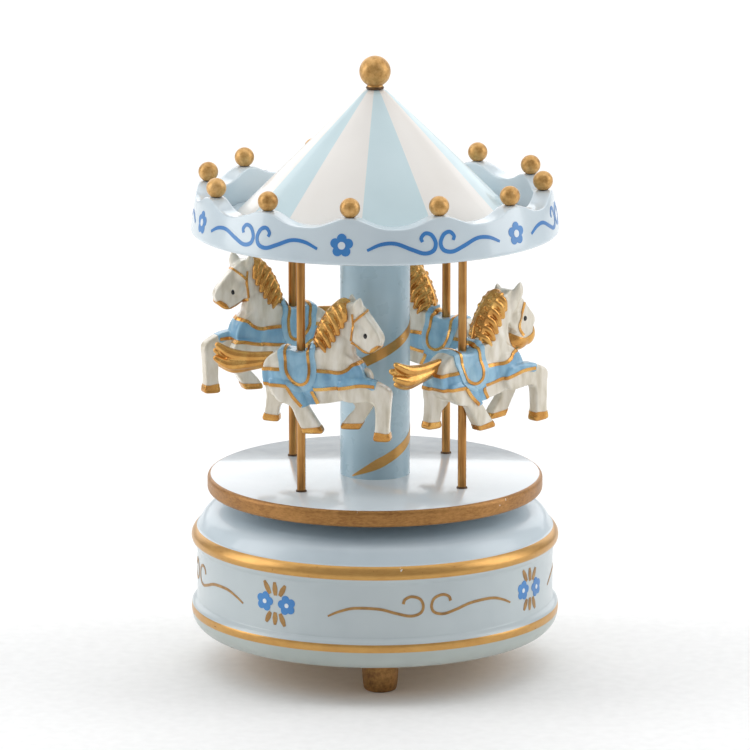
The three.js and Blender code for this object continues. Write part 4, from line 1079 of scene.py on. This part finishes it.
# The front right one looks ahead, and has a heavy gilded jaw and its bridle nearer the nose.
jaw_skin = model_skin(3, 1.3, (((18.6, 0, -0.5), (4.6, 2.3, 3.1)), ((22.3, 0, 0.4), (2.8, 2.2, 3.3))))
JAW_HORSE = model_harness(jaw_skin) + [
    (coat(jaw_skin, "bridle", [
        line([(21.9, 10.0), (20.6, 7.2), (19.6, 4.8), (19.5, 2.6), (20.9, 0.6)], 0.8),
    ], 0.22, HORSE_GOLD), "bridle", "horse_gold"),
    (coat(jaw_skin, "jaw_gold", [smooth_path([
        (15.7, 2.7), (17.4, 1.5), (19.6, 0.4), (21.8, -0.2), (24.0, 0.6), (25.6, 2.2), (27.4, 3.0),
        (27.6, -4.4), (21.0, -5.4), (17.6, -3.4), (16.2, -0.6),
    ], 4, True)], 0.2, HORSE_GOLD), "chin", "horse_gold"),
    (model_eyes(jaw_skin, 21.8, 5.3), "eyes", "horse_white"),
] + SHARED

# Every horse is glued on its pole by hand, so each has its own heading and tilt, in degrees, with its
# nose a little up. Then come its length, as a share of the model's, and the height of its saddle.
STANDS = {
    "front_left": (-11, 1, 0.95, 95.1), "front_right": (41, 3.6, 1.0, 94.1),
    "back_right": (150, 4, 0.95, 94.6), "back_left": (-156, 2, 0.95, 98.5),
}
SEAT = 0.7  # a horse sits this far ahead on its pole, in mm

for corner, (heading, tilt, length, saddle) in STANDS.items():
    middle = centre_of("pole_" + corner)
    stand = (
        Matrix.Translation(Vector((middle.x, middle.y, saddle)) * MM)
        @ Matrix.Rotation(math.radians(heading), 4, "Z") @ Matrix.Rotation(math.radians(-tilt), 4, "Y")
        @ Matrix.Translation((SEAT * MM, 0, 0)) @ Matrix.Scale(length, 4, (1, 0, 0))
    )
    for model, part, slot in JAW_HORSE if corner == "front_right" else PLAIN_HORSE:
        if (corner, part) == ("back_left", "tuft"):
            continue  # this one has none
        copy = model.copy()
        copy.data = model.data.copy()
        bpy.context.scene.collection.objects.link(copy)
        copy.data.transform(stand)
        copy.name = copy.data.name = f"horse_{corner}_{part}"
        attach(copy, "turntable")
        if part == "skin":
            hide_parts("horse_" + corner)
for model in {model for model, part, slot in PLAIN_HORSE + JAW_HORSE}:
    bpy.data.objects.remove(model)


# ---------------------------------------------------------------- carried-over pieces

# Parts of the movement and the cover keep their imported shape. Every screw is steel.
KEPT = {
    "base_cover": PLYWOOD, "bedplate": ZINC, "spring_case": ZINC, "governor_frame": BRASS, "comb": STEEL,
    "mainspring": STEEL, "winding_arbor": STEEL, "melody_cylinder": BRASS, "cylinder_pinion": NYLON,
    "cylinder_gear": NYLON, "crown_wheel": NYLON, "governor_wheel": NYLON, "governor_worm": STEEL,
    "air_fan": NYLON, "drive_flange": ZINC,
}
for name, node in frame["nodes"].items():
    surface = KEPT.get(name, STEEL if "screw" in name else None)
    if surface is not None:
        node.data.materials.clear()
        node.data.materials.append(surface)


# ---------------------------------------------------------------- floor, light and camera

alone()
bpy.ops.mesh.primitive_plane_add(size=6)
floor = bpy.context.object
floor.name = "studio_floor"
floor.data.materials.append(white_paper())


def softbox(name, place, aim, size, watts):
    """A soft rectangular light at a place, turned to its aim. The camera doesn't see it."""
    light = bpy.data.lights.new(name, "AREA")
    light.shape = "RECTANGLE"
    light.size, light.size_y = size
    light.energy = watts
    lamp = bpy.data.objects.new(name, light)
    bpy.context.scene.collection.objects.link(lamp)
    lamp.location = place
    lamp.visible_camera = False
    lamp.rotation_euler = (Vector(aim) - Vector(place)).to_track_quat("-Z", "Y").to_euler()


MIDDLE = (0, 0, 0.083)  # of the music box
BEHIND = (0, 0.2, 0.02)  # the floor behind it
softbox("softbox_left", (-0.95, 0.0, 0.5), MIDDLE, (0.6, 0.9), 4.6)
softbox("softbox_right", (0.95, 0.0, 0.5), MIDDLE, (0.6, 0.9), 4.2)
softbox("softbox_top", (0.0, 0.2, 1.1), MIDDLE, (1.6, 1.2), 6.6)
softbox("softbox_back", (0.0, 1.35, 0.6), BEHIND, (2.4, 0.9), 9)

ROOM_LIGHT = 0.41  # strength of the even light from the white room
world = bpy.data.worlds.new("studio_room")
world.use_nodes = True
bpy.context.scene.world = world
room = world.node_tree.nodes["Background"].inputs
room["Color"].default_value = linear("#fbfcff")
room["Strength"].default_value = ROOM_LIGHT
bpy.context.scene.view_settings.view_transform = "Standard"

ELEVATION = math.radians(12.51)
DISTANCE = 1.7733
AIM_HEIGHT = 0.08317
eye = bpy.data.cameras.new("camera")
eye.lens = 301.9  # a long lens, in mm
eye.sensor_width = 36
eye.clip_end = 20
camera = bpy.data.objects.new("camera", eye)
bpy.context.scene.collection.objects.link(camera)
camera.location = (0, -DISTANCE * math.cos(ELEVATION), AIM_HEIGHT + DISTANCE * math.sin(ELEVATION))
camera.rotation_euler = (math.radians(90) - ELEVATION, 0, 0)
bpy.context.scene.camera = camera
